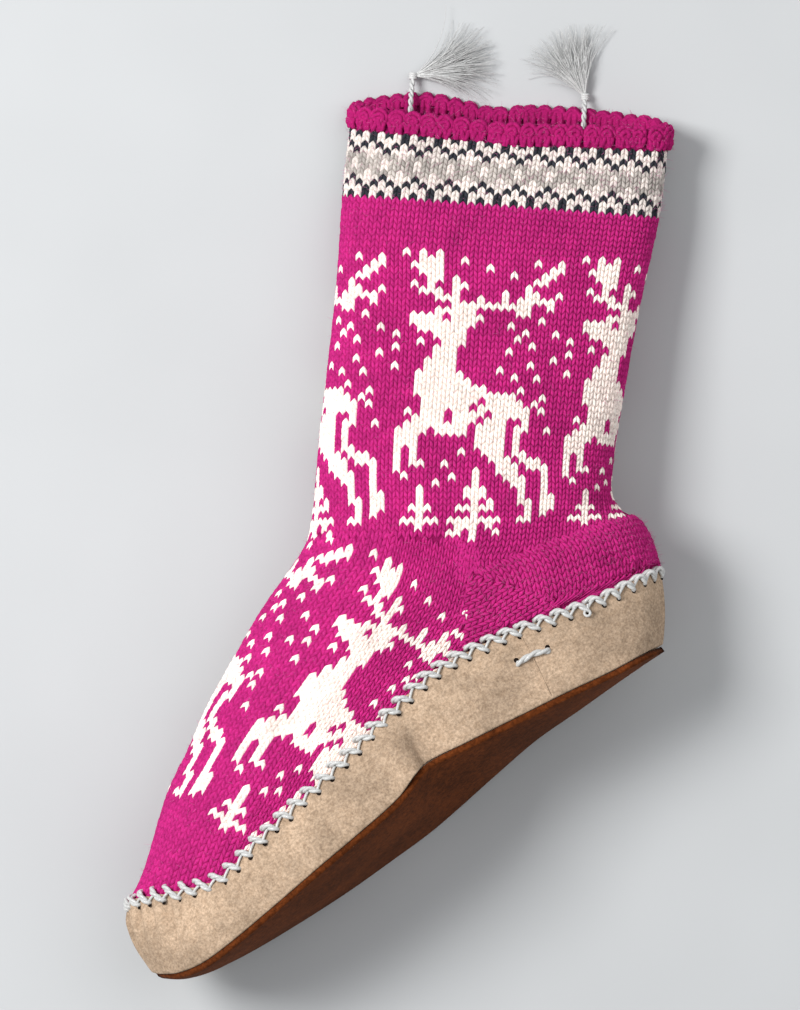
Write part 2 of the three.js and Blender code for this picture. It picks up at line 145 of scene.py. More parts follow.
SHAFT = np.array([
    [157.5, 125.3, 259.3, 25.6, 32, 2, 0, 0],
    [161.5, 129.5, 263, 36, 31.5, 2, 0, 0],
    [165.5, 134, 264.3, 46.5, 30.5, 2.05, 0, 0],
    [170.3, 139.8, 260.3, 59.7, 28.5, 2.1, 0, 0],
    [181, 152, 270.3, 73.3, 26, 2.2, 0, 0],
    [201, 174, 291, 94, 22, 2.35, 0.3, 0.8],
    [224.5, 200.5, 317, 118.7, 18.5, 2.45, 1.1, 2.4],
    [248, 229, 344, 142.6, 15.5, 2.5, 2.4, 4.8],
    [270.6, 254, 368, 168.5, 13, 2.4, 3.9, 7.8],
])
WAVES = [       # of the collar: side, share of the section, reach, out
    (1, 0.52, 0.2, -1.8),
    (-1, 0.2, 0.13, 2.2),
    (-1, 0.42, 0.11, -2.4),
]
FOLD = [(129, 8, 3), (143, 6, -1.4)]        # of the side suede at the ball: x, reach, out
KNIT, SUEDE, OUTSOLE, INSOLE, GAP = 3.0, 1.6, 2.2, 3.0, 0.3
SOLE_SAG, ROUND_END, END_INSET = 1.5, 24, 1.6
LEAN = math.radians(7.2)
BALL_EDGE = 39.4                # from the middle to the sole's edge at the ball, which is on the floor
CENTRE = (183.7446, 123.69)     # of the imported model's box
KNIT_DEPTH = SUEDE + 2 * GAP
HEEL = len(FOOT) - 1
TOP = HEEL + len(SHAFT) - 1
ACROSS = np.array([97.4, -85.5, 0]) / math.hypot(97.4, 85.5)
OUTWARD = np.array([-ACROSS[1], ACROSS[0], 0])
FLAT_ACROSS, FLAT_OUTWARD = ACROSS[:2], OUTWARD[:2]
HEEL_TURN = np.array([196.4, 65.7])      # where the heel, the gusset and the instep meet
HEEL_DOWN = np.array([-0.230, -0.973])
HEEL_ALONG = np.array([0.973, -0.230])
FLOOR_NORMAL = np.array([0, -math.sin(LEAN), math.cos(LEAN)])


def unit(v):
    return v / np.maximum(np.linalg.norm(v, axis=-1, keepdims=True), 1e-12)


def run_along(points):
    """The distance along a line of points, from its start to each of them."""
    return np.concatenate([[0], np.cumsum(np.linalg.norm(np.diff(points, axis=0), axis=1))])


def hump(x, middle, reach):
    """A smooth bump, 1 high."""
    return np.exp(-(((x - middle) / reach) ** 2))


def smooth(a, b, c, d, f):
    """A Catmull-Rom curve between b and c."""
    return b + 0.5 * f * (c - a + f * (2 * a - 5 * b + 4 * c - d + f * (3 * (b - c) + d - a)))


def along(table, columns, row, column):
    """A column of a table at a row that need not be whole."""
    values = table[:, columns.index(column)]
    row = np.asarray(row, float)
    n = np.clip(np.floor(row).astype(int), 0, len(values) - 2)
    last = len(values) - 1
    a, b = values[np.clip(n - 1, 0, last)], values[n]
    c, d = values[n + 1], values[np.clip(n + 2, 0, last)]
    return smooth(a, b, c, d, row - n)


def foot_at(row, column):
    return along(FOOT, FOOT_COLUMNS, row, column)


def shaft_at(row, column):
    return along(SHAFT, SHAFT_COLUMNS, row, column)


def pressed(points, height):
    """Points lower than this above the floor are moved up to it."""
    level = points @ FLOOR_NORMAL + BALL_EDGE * math.cos(LEAN)
    return points + np.maximum(height - level, 0)[..., None] * FLOOR_NORMAL


def side_point(row, rise, side):
    """The side suede's outer face, from the sole's edge (rise 0) to the seam (rise 1)."""
    row, rise = np.broadcast_arrays(np.asarray(row, float), np.asarray(rise, float))
    height = "nearY" if side > 0 else "farY"
    low = np.stack([foot_at(row, "soleX"), foot_at(row, height), foot_at(row, "soleW")], -1)
    high = np.stack([foot_at(row, "seamX"), foot_at(row, "seamY"), foot_at(row, "seamW")], -1)
    point = low + (high - low) * rise[..., None]
    reach = np.hypot(point[..., 2], 12)
    out = foot_at(row, "swell") * np.sin(np.pi * rise)
    if side > 0:
        swell = sum(o * hump(point[..., 0], x, r) for x, r, o in FOLD)
        out = out + swell * np.clip(1 - rise, 0, 1) ** 0.7
    end = np.where(row < HEEL / 2, -1, 1)
    point[..., 0] += end * out * (12 / reach)
    point[..., 2] += out * (point[..., 2] / reach)
    point[..., 2] *= side
    return point


def side_normal(row, rise, side):
    row, rise = np.broadcast_arrays(np.asarray(row, float), np.asarray(rise, float))
    d = 0.02
    ahead = side_point(np.minimum(row + d, HEEL), rise, side) - side_point(np.maximum(row - d, 0), rise, side)
    up = side_point(row, np.minimum(rise + d, 1), side) - side_point(row, np.maximum(rise - d, 0), side)
    normal = np.cross(ahead, up) * side
    normal[..., 2] = np.where((row <= 0) | (row >= HEEL), 0, normal[..., 2])
    return normal / np.linalg.norm(normal, axis=-1, keepdims=True)


def side_skin(row, rise, side, depth):
    """A face inside the side suede's outer one."""
    return side_point(row, rise, side) - depth * side_normal(row, rise, side)


def foot_down(row, k, half, girth):
    """How far down its section a point of the foot lies (0 to 1), and how far out."""
    last = np.pi - np.arcsin(np.clip(half / girth, -1, 1))
    angle = np.abs(k) * last
    around = (1 - np.cos(angle)) / (1 - np.cos(last))
    peak = foot_at(row, "peak")
    down = around + (np.abs(k) - around) * peak
    out = girth * np.sin(angle)
    return down, out + (half * np.abs(k) - out) * peak


def shaft_down(row, k):
    """How far down its section a point of the shaft lies (0 to 1), and how far out (0 to 1)."""
    angle = np.pi * np.abs(k)
    power = 2 / shaft_at(row, "flat")
    cos = np.cos(angle)
    down = (1 - np.sign(cos) * np.abs(cos) ** power) / 2
    return down, np.where(np.abs(k) >= 1, 0, np.abs(np.sin(angle)) ** power)


def sock_point(g, k):
    """The knit's outer skin: g runs from the toe (0) over the heel (HEEL) to the collar (TOP), and
    k from the near side's seam or back (-1) over the front (0) to the far side's (1)."""
    g, k = np.broadcast_arrays(np.asarray(g, float), np.asarray(k, float))
    side = np.where(k > 0, -1.0, 1.0)
    row = np.clip(g, 0.001, HEEL)
    near, far = (side_skin(row, np.ones_like(row), s, KNIT_DEPTH) for s in (1, -1))
    end = np.where(side[..., None] > 0, near, far)
    half = np.abs(end[..., 2])
    girth = np.maximum(foot_at(row, "girth"), np.maximum(half, 1e-6))
    down, out = foot_down(row, k, half, girth)
    foot = np.stack([
        foot_at(row, "ridgeX") * (1 - down) + end[..., 0] * down,
        foot_at(row, "ridgeY") * (1 - down) + end[..., 1] * down,
        side * out], -1)
    row = np.clip(g - HEEL, 0, TOP - HEEL)
    down, out = shaft_down(row, k)
    shaft = np.stack([
        shaft_at(row, "frontX") * (1 - down) + shaft_at(row, "backX") * down,
        shaft_at(row, "frontY") * (1 - down) + shaft_at(row, "backY") * down,
        side * out * shaft_at(row, "girth")], -1)
    fade = np.maximum(row - (TOP - HEEL) + 1, 0) ** 2
    waves = sum(np.where(side == s, o * hump(down, a, r), 0) for s, a, r, o in WAVES)
    slack = np.where(side > 0, -shaft_at(row, "short"), shaft_at(row, "long"))
    shaft = shaft + (out * (slack + fade * waves))[..., None] * OUTWARD
    skin = np.where((g <= HEEL)[..., None], foot, shaft)
    away = (skin[..., :2] - HEEL_TURN) @ HEEL_DOWN
    reach = np.clip(((skin[..., :2] - HEEL_TURN) @ HEEL_ALONG - 4) / 56, 0, 1)
    dip = 3.2 * hump(away, -3.5, 5.5) - 1.2 * hump(away, 9, 7)
    skin[..., 2] -= dip * reach * np.clip(skin[..., 2] / 10, -1, 1)
    return pressed(skin, 0)


def placed(points):
    """Slipper frame in millimetres to the row frame in metres."""
    points = np.asarray(points, float)
    x, y, z = points[..., 0], points[..., 1], points[..., 2]
    c, s = math.cos(LEAN), math.sin(LEAN)
    move = (-CENTRE[0], -CENTRE[1], BALL_EDGE * c)
    return (np.stack([x, y * c + z * s, -y * s + z * c], -1) + move) / 1000


def above_floor(points, height):
    """Points of the row frame, none lower than this."""
    points = placed(points)
    points[..., 2] = np.maximum(points[..., 2], height)
    return points


# Finding the skin under a point of the side view

FINE = np.linspace(0, TOP, 24 * 20)


def section_ends(side):
    """Both ends of every section of the sock, in the side view."""
    row = np.clip(FINE, 0.001, HEEL)
    end = side_skin(row, np.ones_like(row), side, KNIT_DEPTH)[:, :2]
    ridge = np.stack([foot_at(row, "ridgeX"), foot_at(row, "ridgeY")], -1)
    up = np.clip(FINE - HEEL, 0, TOP - HEEL)
    front = np.stack([shaft_at(up, "frontX"), shaft_at(up, "frontY")], -1)
    back = np.stack([shaft_at(up, "backX"), shaft_at(up, "backY")], -1)
    low = (FINE <= HEEL)[:, None]
    return np.where(low, ridge, front), np.where(low, end, back)


ENDS = {side: section_ends(side) for side in (1, -1)}


BATCH, SLACK = 20000, 0.03


def locate(flat, side):
    """Row and share of the section for points of the side view, and whether the skin is there."""
    front, back = ENDS[side]
    span = back - front
    flat = np.asarray(flat, float)
    shape = flat.shape[:-1]
    flat = flat.reshape(-1, 2)
    g_found = np.zeros(len(flat))
    down_found = np.zeros(len(flat))
    found = np.zeros(len(flat), bool)
    for start in range(0, len(flat), BATCH):
        part = flat[start:start + BATCH]
        rel = part[:, None, :] - front[None]
        cross = span[None, :, 0] * rel[..., 1] - span[None, :, 1] * rel[..., 0]
        change = (cross[:, :-1] * cross[:, 1:]) <= 0
        fall = cross[:, :-1] - cross[:, 1:]
        share = cross[:, :-1] / np.where(fall == 0, 1, fall)
        first = front[None, :-1] + share[..., None] * (front[1:] - front[:-1])[None]
        across = span[None, :-1] + share[..., None] * (span[1:] - span[:-1])[None]
        down = ((part[:, None] - first) * across).sum(-1) / (across ** 2).sum(-1)
        good = change & (down > -SLACK) & (down < 1 + SLACK)
        pick = good.argmax(1)
        rows = np.arange(len(part))
        ok = good[rows, pick]
        g_found[start:start + BATCH] = FINE[pick] + share[rows, pick] * (FINE[1] - FINE[0])
        down_found[start:start + BATCH] = np.clip(down[rows, pick], 0, 1)
        found[start:start + BATCH] = ok
    return g_found.reshape(shape), down_found.reshape(shape), found.reshape(shape)


def share_to_k(g, down, side):
    """The k on this side whose point lies at that share of its section."""
    row = np.clip(g, 0.001, HEEL)
    half = np.abs(side_skin(row, np.ones_like(row), side, KNIT_DEPTH)[..., 2])
    girth = np.maximum(foot_at(row, "girth"), np.maximum(half, 1e-6))
    low, high = np.zeros_like(g), np.ones_like(g)
    for _ in range(26):
        middle = (low + high) / 2
        above = foot_down(row, middle, half, girth)[0] < down
        low, high = np.where(above, middle, low), np.where(above, high, middle)
    up = np.clip(g - HEEL, 0, TOP - HEEL)
    cos = 1 - 2 * down
    level = np.sign(cos) * np.abs(cos) ** (shaft_at(up, "flat") / 2)
    exact = np.arccos(np.clip(level, -1, 1)) / np.pi
    return np.where(g <= HEEL, (low + high) / 2, exact) * -side


def lift(flat, side):
    """Points of the side view raised onto the skin of one side."""
    g, down, found = locate(flat, side)
    return sock_point(g, np.where(down <= 0, -side * 1e-9, share_to_k(g, down, side))), found


def march(start, direction, length, side, both):
    """A section of the skin in a straight line of the side view, dense where the skin turns over:
    its points and the distance along them."""
    t = np.linspace(0, 1, 150)
    s = length * ((1 - np.cos(np.pi * t)) / 2 if both else 1 - np.cos(np.pi * t / 2))
    points, found = lift(start + s[:, None] * direction, side)
    keep = found | (t == 0)
    points = points[keep]
    return points, run_along(points)


def on_run(points, run, at):
    """The points at some distances along a line."""
    return np.stack([np.interp(at, run, points[:, n]) for n in range(3)], -1)


# The knit's layout

STITCH, ROW, FOOT_ROW, HEEL_ROW = 3.3, 2.70, 2.88, 2.75
NEAR, FAR = 42, 46              # wales from the front to the back, on each side
BEND = 22                       # wales of even width next to the front
BEND_STITCH = {1: 3.45, -1: 3.1}
RIM_ROWS, BAND_ROWS, PLAIN_ROWS = 3, 12, 7
RIM_HEIGHT, BAND_HEIGHT = 7.5, 28
SHAFT_ROWS, FOOT_ROWS, HEEL_ROWS, GUSSET_ROWS = (RIM_ROWS, 84), (-14, 70), (0, 17), (-2, 20)
WALE_SLIP, WALE_SLIP_FROM = 0.1, 24
ANKLE = np.array([157.5, 125.3])
FOOT_TURN = math.radians(23.7)
FOOT_WAY = np.array([-math.cos(FOOT_TURN), -math.sin(FOOT_TURN)])
FOOT_ACROSS = np.array([-FOOT_WAY[1], FOOT_WAY[0]])
FOOT_START, FOOT_DRIFT, FOOT_ZERO = -4.8, 0.072, 19
COLLAR_LEVEL = float(SHAFT[-1, :2] @ FLAT_OUTWARD)
ANKLE_LEVEL = float(ANKLE @ FLAT_OUTWARD) - 9
NOTCH_LEVEL = 217
MITRE_END = np.array([218.1, 35.5])
GUSSET_LOW = np.array([174.2, 41.0])
GUSSET_OVER = np.array([0.0575, 0.998])
GUSSET_DOWN = np.array([-0.998, 0.0575])
CHART_TOP = RIM_ROWS + BAND_ROWS + PLAIN_ROWS
CHART_COLUMN = 9.5
LEG_DROP, BED = 0.7, 0.55       # of a leg's outer end in rows, and of its base under the skin

BAND = ["KWKW", "KWWW", "WKWK", "WWKW", "WGGG", "GGWG", "GGWG", "WGGG", "WWKW", "WKWK", "KWWW", "KWKW"]
MOTIF = """
......................
.#.#.#................
...###..#........#..#.
..####.....#.......##.
...###........#...##..
....##.#.........##...
..#.#..##.......#.....
...###.#.....#..##..#.
.....###..#..#.#####..
.......##########..#..
.....#####.....##.....
..####.####.......#...
..########....#.......
...######.......#...#.
#....####......#......
...#..###........#....
#....###......#.......
.....###............#.
....####.........#....
#...####.....#........
...######......#..#...
...#######............
...#########....#.....
...#############...#..
....#######.#####.#...
....######.#######.#..
..#.###.####.#####....
...####.###.###..#....
..########.####.##..#.
.####.####.####.#.....
.###.......####.#.....
.###.......####.#.....
.#.#.....#..###.##....
.#.#.........###.###..
.#.##..#......###.###.
.#.........#..###...#.
..#.....#..#...###..#.
......#....#....##..#.
....#.....###....#..#.
....#.....###....#..##
....#......#.#...##.##
...###...#####....#.##
....#......#......#.#.
..#####.#######..##...
....#....###.#........
........##.#..#.......
...........#..........
""".split()
YARNS = {"M": 0, "W": 1, "K": 2, "G": 3}


def collar_distance(r):
    """How far below the collar a shaft course lies, in millimetres along the front."""
    band_end = RIM_ROWS + BAND_ROWS
    below = RIM_HEIGHT + BAND_HEIGHT
    far = 300
    return np.interp(r, [0, RIM_ROWS, band_end, far], [0, RIM_HEIGHT, below, below + (far - band_end) * ROW])


def yarn_of_chart(row, column):
    row, column = int(math.floor(row)), int(math.floor(column)) % len(MOTIF[0])
    if 0 <= row < len(MOTIF):
        return YARNS["W" if MOTIF[row][column] == "#" else "M"]
    return YARNS["M"]


def shaft_yarn(r, c):
    if RIM_ROWS <= r < RIM_ROWS + BAND_ROWS:
        course = BAND[int(r) - RIM_ROWS]
        return YARNS[course[int(math.floor(c)) % len(course)]]
    return yarn_of_chart(r - CHART_TOP + 0.5, c - CHART_COLUMN + 0.5)


def foot_yarn(r, c):
    return yarn_of_chart(r + 0.5, c - CHART_COLUMN + 0.5)


def plain_yarn(r, c):
    return YARNS["M"]


def beyond_seam(points, side):
    """Points further down inside the suede, to go on a section that ends at the seam."""
    rows = np.linspace(0.05, HEEL - 0.05, 400)
    seam = side_skin(rows, np.ones_like(rows), side, KNIT_DEPTH)
    row = rows[np.argmin(np.linalg.norm(seam - points[-1], axis=1))]
    more = np.array([side_skin(row, rise, side, KNIT_DEPTH + 0.2) for rise in (0.88, 0.72)])
    points = np.concatenate([points, pressed(more, KNIT_DEPTH)])
    return points, run_along(points)


def edge_at(curve, level, lowest=HEEL):
    """Where an edge of the shaft reaches a level, in the side view."""
    curve = curve[FINE >= lowest - 0.01]
    levels = curve @ FLAT_OUTWARD
    order = np.argsort(levels)
    return np.array([np.interp(level, levels[order], curve[order, n]) for n in range(2)])


def slipped(r, c):
    """Where a wale lies, in wales from the front: further down the shaft it slips round the front
    towards the near side, and stays put at the back."""
    half = np.where(c > 0, NEAR, FAR)
    return c + WALE_SLIP * np.maximum(r - WALE_SLIP_FROM, 0) * (1 - (c / half) ** 2)


def raised(rows, columns):
    """The courses rise towards the back: the row of the straight courses that each one lies on."""
    r, c = rows[:, None], np.abs(columns[None])
    up = 1.2 * np.clip((r - 15) / 8, 0, 1) + 2.7 * (np.maximum(r - 45, 0) / 21) ** 2
    return r - np.minimum(up, 5) * np.clip(c / 38, 0, 1.1) ** 2


def shaft_lattice(rows):
    """Stitch corners of the shaft: for each course, half columns from the back over the far side,
    the front and the near side to the back again."""
    columns = np.arange(-2 * FAR, 2 * NEAR + 1) / 2
    straight = np.full((len(rows), len(columns), 3), np.nan)
    heel_level, front_from, fringe = 191, 11, 0.5
    wide, turn, turn_level = {1: STITCH, -1: STITCH}, {}, {}
    for n, r in enumerate(rows):
        level = COLLAR_LEVEL - max(collar_distance(r), 0.05)
        q = slipped(r, columns)
        for side, half in ((1, NEAR), (-1, FAR)):
            stitch = BEND_STITCH[side]
            bent = BEND * stitch
            here = np.flatnonzero(q * side >= 0)
            back = edge_at(ENDS[side][1], max(level, heel_level))
            if level >= ANKLE_LEVEL - 1.5 * ROW:
                front = edge_at(ENDS[side][0], level, front_from)
                points, run = march(front, FLAT_ACROSS, float((back - front) @ FLAT_ACROSS), side, True)
                if level >= NOTCH_LEVEL:
                    wide[side] = (run[-1] - bent) / (half - BEND)
                turn[side], turn_level[side] = on_run(points, run, bent)[:2], level
                at = np.where(q * side <= BEND, q * side * stitch, bent + (q * side - BEND) * wide[side])
            else:
                start = turn[side] + (level - turn_level[side]) * FLAT_OUTWARD
                points, run = march(start, FLAT_ACROSS, float((back - start) @ FLAT_ACROSS), side, True)
                at = (q * side - BEND) * wide[side]
            ok = here[(at[here] >= 0) & (at[here] <= run[-1] + fringe)]
            straight[n, ok] = on_run(points, run, at[ok])
    place = np.interp(raised(np.asarray(rows, float), columns), rows, np.arange(len(rows)))
    low = np.clip(np.floor(place).astype(int), 0, len(rows) - 2)
    share = (place - low)[..., None]
    across = np.arange(len(columns))[None]
    return straight[low, across] * (1 - share) + straight[low + 1, across] * share


def foot_lattice(rows, half_columns):
    """Stitch corners of the foot, and how far past the seam each lies. Courses are parallel lines
    of the side view, and wales slip over the ridge to the far side towards the toe."""
    ridge = ENDS[1][0]
    value = (ridge - ANKLE) @ FOOT_WAY
    order = np.argsort(value)
    lattice = np.full((len(rows), len(half_columns), 3), np.nan)
    beyond = np.zeros(lattice.shape[:2])
    near_run, near_wales, far_stitch, reach = [0, 54, 174], [0, 14, 60], 3.2, 135
    for n, f in enumerate(rows):
        at = FOOT_ROW * f + FOOT_START
        start = np.array([np.interp(at, value[order], ridge[order, m]) for m in range(2)])
        from_ridge = half_columns - FOOT_DRIFT * (f - FOOT_ZERO)
        sigma = np.where(from_ridge > 0, np.interp(from_ridge, near_wales, near_run), far_stitch * from_ridge)
        for side in (1, -1):
            points, run = march(start, FOOT_ACROSS, reach, side, False)
            end = run[-1]
            points, run = beyond_seam(points, side)
            here = sigma * side >= 0
            at = np.abs(sigma[here])
            lattice[n, here] = on_run(points, run, np.minimum(at, run[-1]))
            beyond[n, here] = at - end
    return lattice, beyond


def grid_lattice(origin, down, over, rows, columns, side, from_back):
    """A plain field of parallel courses. Columns are counted from the back's edge, or from the
    origin's line."""
    lattice = np.full((len(rows), len(columns), 3), np.nan)
    reach, fringe = np.arange(-60, 110, 0.5), 0.5
    for n, r in enumerate(rows):
        start = origin + r * HEEL_ROW * down
        _, found = lift(start + reach[:, None] * over, side)
        valid = reach[found]
        if len(valid) < 4:
            continue
        low, high = valid[0], valid[-1]
        points, run = march(start + high * over, -over, high - low, side, True)
        at = columns * STITCH
        if not from_back:
            flat_run = (points[:, :2] - (start + high * over)) @ (-over)
            at = np.interp(high, flat_run, run) - at
        ok = (at >= -fringe) & (at <= run[-1] + fringe)
        lattice[n, ok] = on_run(points, run, np.clip(at[ok], 0, run[-1]))
    return lattice


def legs_of(lattice, rows, columns, keep, yarn_of, outward=None):
    """Two slanted leg quads for each stitch, their bases a little below the knit's skin."""
    normal = unit(np.cross(np.gradient(lattice, axis=0), np.gradient(lattice, axis=1)))
    if outward is not None and np.nanmean(normal, axis=(0, 1)) @ outward < 0:
        normal = -normal
    base = lattice - BED * normal
    least = 0.3
    quads, yarns = [], []
    for i in range(len(rows) - 2):
        for j in range(0, len(columns) - 2, 2):
            corners = base[i:i + 3, j:j + 3]
            if np.isnan(corners).any():
                continue
            if not keep(rows[i], columns[j], (lattice[i, j + 1] + lattice[i + 1, j + 1]) / 2, i, j):
                continue
            yarn = yarn_of(rows[i], columns[j])
            for edge in (0, 2):
                first, second, third = corners[:, edge]
                quad = np.array([
                    first + (second - first) * LEG_DROP,
                    corners[0, 1],
                    corners[1, 1],
                    second + (third - second) * LEG_DROP])
                face = np.cross(quad[2] - quad[0], quad[3] - quad[1])
                if np.linalg.norm(face) < least:
                    continue
                if face @ normal[i, j + 1] < 0:
                    quad = quad[::-1]
                quads.append(quad)
                yarns.append(yarn)
    return quads, yarns


def side_of_line(p, a, b):
    return (b[0] - a[0]) * (p[1] - a[1]) - (b[1] - a[1]) * (p[0] - a[0])


def on_shaft(r, c, p):
    """Above the foot's first course in front, and above the heel at the back."""
    if abs(slipped(r, c) + 0.5) < BEND:
        return p[:2] @ FLAT_OUTWARD >= ANKLE_LEVEL - 3.2
    return (p[:2] - HEEL_TURN) @ HEEL_DOWN < 1.0


def on_foot(p):
    """Below the last shaft course, and on the instep's side of the heel."""
    if p[:2] @ FLAT_OUTWARD > ANKLE_LEVEL + 3.0:
        return False
    if (p[:2] - HEEL_TURN) @ FLAT_OUTWARD > 0:
        return side_of_line(p, HEEL_TURN, HEEL_TURN + FLAT_OUTWARD) > -3
    return side_of_line(p, GUSSET_LOW, HEEL_TURN) > -40


def on_heel(r, c, p, i, j):
    return (p[:2] - HEEL_TURN) @ HEEL_DOWN >= 0 and side_of_line(p, HEEL_TURN, MITRE_END) > 0


def on_gusset(r, c, p, i, j):
    return side_of_line(p, HEEL_TURN, MITRE_END) <= 0 and side_of_line(p, GUSSET_LOW, HEEL_TURN) < 0


def shaft_fields():
    """The leg quads of the band and of the shaft below it."""
    rows = np.arange(*SHAFT_ROWS)
    columns = np.arange(-2 * FAR, 2 * NEAR + 1) / 2
    lattice = shaft_lattice(rows)
    band_end = RIM_ROWS + BAND_ROWS

    def in_band(r, c, p, i, j):
        return r < band_end

    def below_band(r, c, p, i, j):
        return r >= band_end and on_shaft(r, c, p)

    band = legs_of(lattice, rows, columns, in_band, shaft_yarn)
    return band, legs_of(lattice, rows, columns, below_band, shaft_yarn)


def foot_field():
    rows = np.arange(*FOOT_ROWS)
    columns = np.arange(-80, 81) / 2
    lattice, beyond = foot_lattice(rows, columns)

    def kept(r, c, p, i, j):
        return on_foot(p) and beyond[i, j + 1] < 1.5

    return legs_of(lattice, rows, columns, kept, foot_yarn)


def heel_field():
    """The heel's courses and the gusset's, which meet them on a mitre, on both sides."""
    quads, yarns = [], []
    for side in (1, -1):
        rows, columns = np.arange(*HEEL_ROWS), np.arange(0, 70) / 2
        lattice = grid_lattice(HEEL_TURN, HEEL_DOWN, HEEL_ALONG, rows, columns, side, True)
        heel = legs_of(lattice, rows, columns, on_heel, plain_yarn, np.array([0.1, 0, side]))
        rows, columns = np.arange(*GUSSET_ROWS), np.arange(-12, 26) / 2
        lattice = grid_lattice(MITRE_END, GUSSET_DOWN, GUSSET_OVER, rows, columns, side, False)
        gusset = legs_of(lattice, rows, columns, on_gusset, plain_yarn, np.array([0, 0, side]))
        quads += heel[0] + gusset[0]
        yarns += heel[1] + gusset[1]
    return quads, yarns


def knit_fields():
    """All leg quads of the knit with their yarns, by piece."""
    band, shaft = shaft_fields()
    return {"knit_band": band, "knit_shaft": shaft, "knit_foot": foot_field(), "knit_heel": heel_field()}


# Meshes and node trees

def mesh_object(name, points, faces):
    mesh = bpy.data.meshes.new(name)
    mesh.from_pydata([tuple(p) for p in points], [], [tuple(int(n) for n in f) for f in faces])
    mesh.update()
    mesh.polygons.foreach_set("use_smooth", [True] * len(mesh.polygons))
    thing = bpy.data.objects.new(name, mesh)
    bpy.context.scene.collection.objects.link(thing)
    return thing


def recalculated(thing):
    """Turn the faces of a closed piece outwards."""
    work = bmesh.new()
    work.from_mesh(thing.data)
    bmesh.ops.recalc_face_normals(work, faces=work.faces)
    work.to_mesh(thing.data)
    work.free()


def finished(thing, material, nodes=()):
    """Flatten a piece where it rests on the floor, give it its material, attach it to the root body and hide
    the imported parts that it replaces.
    """
    points = np.empty(len(thing.data.vertices) * 3)
    thing.data.vertices.foreach_get("co", points)
    points[2::3] = np.maximum(points[2::3], 0)
    thing.data.vertices.foreach_set("co", points)
    thing.data.update()
    thing.data.materials.clear()
    thing.data.materials.append(material)
    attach(thing, "root")
    if nodes:
        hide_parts(*nodes)


def node(tree, kind, links=None, **values):
    """A new node with its settings, and with sockets linked or set."""
    made = tree.nodes.new(kind)
    for name, value in values.items():
        setattr(made, name, value)
    for socket, value in (links or {}).items():
        if isinstance(value, bpy.types.NodeSocket):
            tree.links.new(value, made.inputs[socket])
        else:
            made.inputs[socket].default_value = value
    return made


def maths(tree, operation, first, second):
    return node(tree, "ShaderNodeMath", {0: first, 1: second}, operation=operation).outputs[0]


def tree_with(name, inputs):
    """A Geometry Nodes tree with named inputs."""
    tree = bpy.data.node_groups.new(name, "GeometryNodeTree")
    tree.interface.new_socket("Geometry", in_out="INPUT", socket_type="NodeSocketGeometry")
    for label, kind, value in inputs:
        socket = tree.interface.new_socket(label, in_out="INPUT", socket_type=kind)
        if value is not None:
            socket.default_value = value
    tree.interface.new_socket("Geometry", in_out="OUTPUT", socket_type="NodeSocketGeometry")
    start = tree.nodes.new("NodeGroupInput")
    end = tree.nodes.new("NodeGroupOutput")
    return tree, start, end


def tree_end(tree, start, end, geometry):
    """Smooth shading, real meshes for instances and the piece's material."""
    smoothed = node(tree, "GeometryNodeSetShadeSmooth", {"Geometry": geometry})
    real = node(tree, "GeometryNodeRealizeInstances", {0: smoothed.outputs[0]})
    paint = node(tree, "GeometryNodeSetMaterial", {
        "Geometry": real.outputs[0], "Material": start.outputs["Material"]})
    tree.links.new(paint.outputs[0], end.inputs[0])


def evaluated(thing, tree, values):
    """The object with the tree worked out and put in its mesh."""
    modifier = thing.modifiers.new(tree.name, "NODES")
    modifier.node_group = tree
    for item in tree.interface.items_tree:
        if item.item_type == "SOCKET" and item.in_out == "INPUT" and item.name in values:
            modifier[item.identifier] = values[item.name]
    bpy.context.view_layer.update()
    graph = bpy.context.evaluated_depsgraph_get()
    mesh = bpy.data.meshes.new_from_object(thing.evaluated_get(graph), depsgraph=graph)
    name = thing.name
    bpy.data.objects.remove(thing)
    made = bpy.data.objects.new(name, mesh)
    bpy.context.scene.collection.objects.link(made)
    return made


def relief_tree():
    """Each flat leg of a stitch is raised into a small pillow."""
    tree, start, end = tree_with("Stitch relief", [
        ("Rise", "NodeSocketFloat", 0.0008), ("Crown", "NodeSocketFloat", 0.00025),
        ("Shoulder", "NodeSocketFloat", 0.8), ("Point", "NodeSocketFloat", 0.55),
        ("Unevenness", "NodeSocketFloat", 0.2), ("Seed", "NodeSocketInt", 7),
        ("Material", "NodeSocketMaterial", None)])
    inputs = start.outputs
    random = node(tree, "FunctionNodeRandomValue", {
        2: maths(tree, "SUBTRACT", 1.0, inputs["Unevenness"]),
        3: maths(tree, "ADD", 1.0, inputs["Unevenness"]),
        "Seed": inputs["Seed"]}, data_type="FLOAT")
    height = maths(tree, "MULTIPLY", inputs["Rise"], random.outputs[1])
    first = node(tree, "GeometryNodeExtrudeMesh", {
        "Mesh": inputs["Geometry"], "Offset Scale": height, "Individual": True}, mode="FACES")
    shoulder = node(tree, "GeometryNodeScaleElements", {
        "Geometry": first.outputs["Mesh"], "Selection": first.outputs["Top"], "Scale": inputs["Shoulder"]})
    second = node(tree, "GeometryNodeExtrudeMesh", {
        "Mesh": shoulder.outputs[0], "Selection": first.outputs["Top"], "Offset Scale": inputs["Crown"],
        "Individual": True}, mode="FACES")
    crown = node(tree, "GeometryNodeScaleElements", {
        "Geometry": second.outputs["Mesh"], "Selection": second.outputs["Top"], "Scale": inputs["Point"]})
    bottom = node(tree, "GeometryNodeFlipFaces", {0: inputs["Geometry"]})
    both = node(tree, "GeometryNodeJoinGeometry")
    tree.links.new(bottom.outputs[0], both.inputs[0])
    tree.links.new(crown.outputs[0], both.inputs[0])
    tree_end(tree, start, end, both.outputs[0])
    return tree


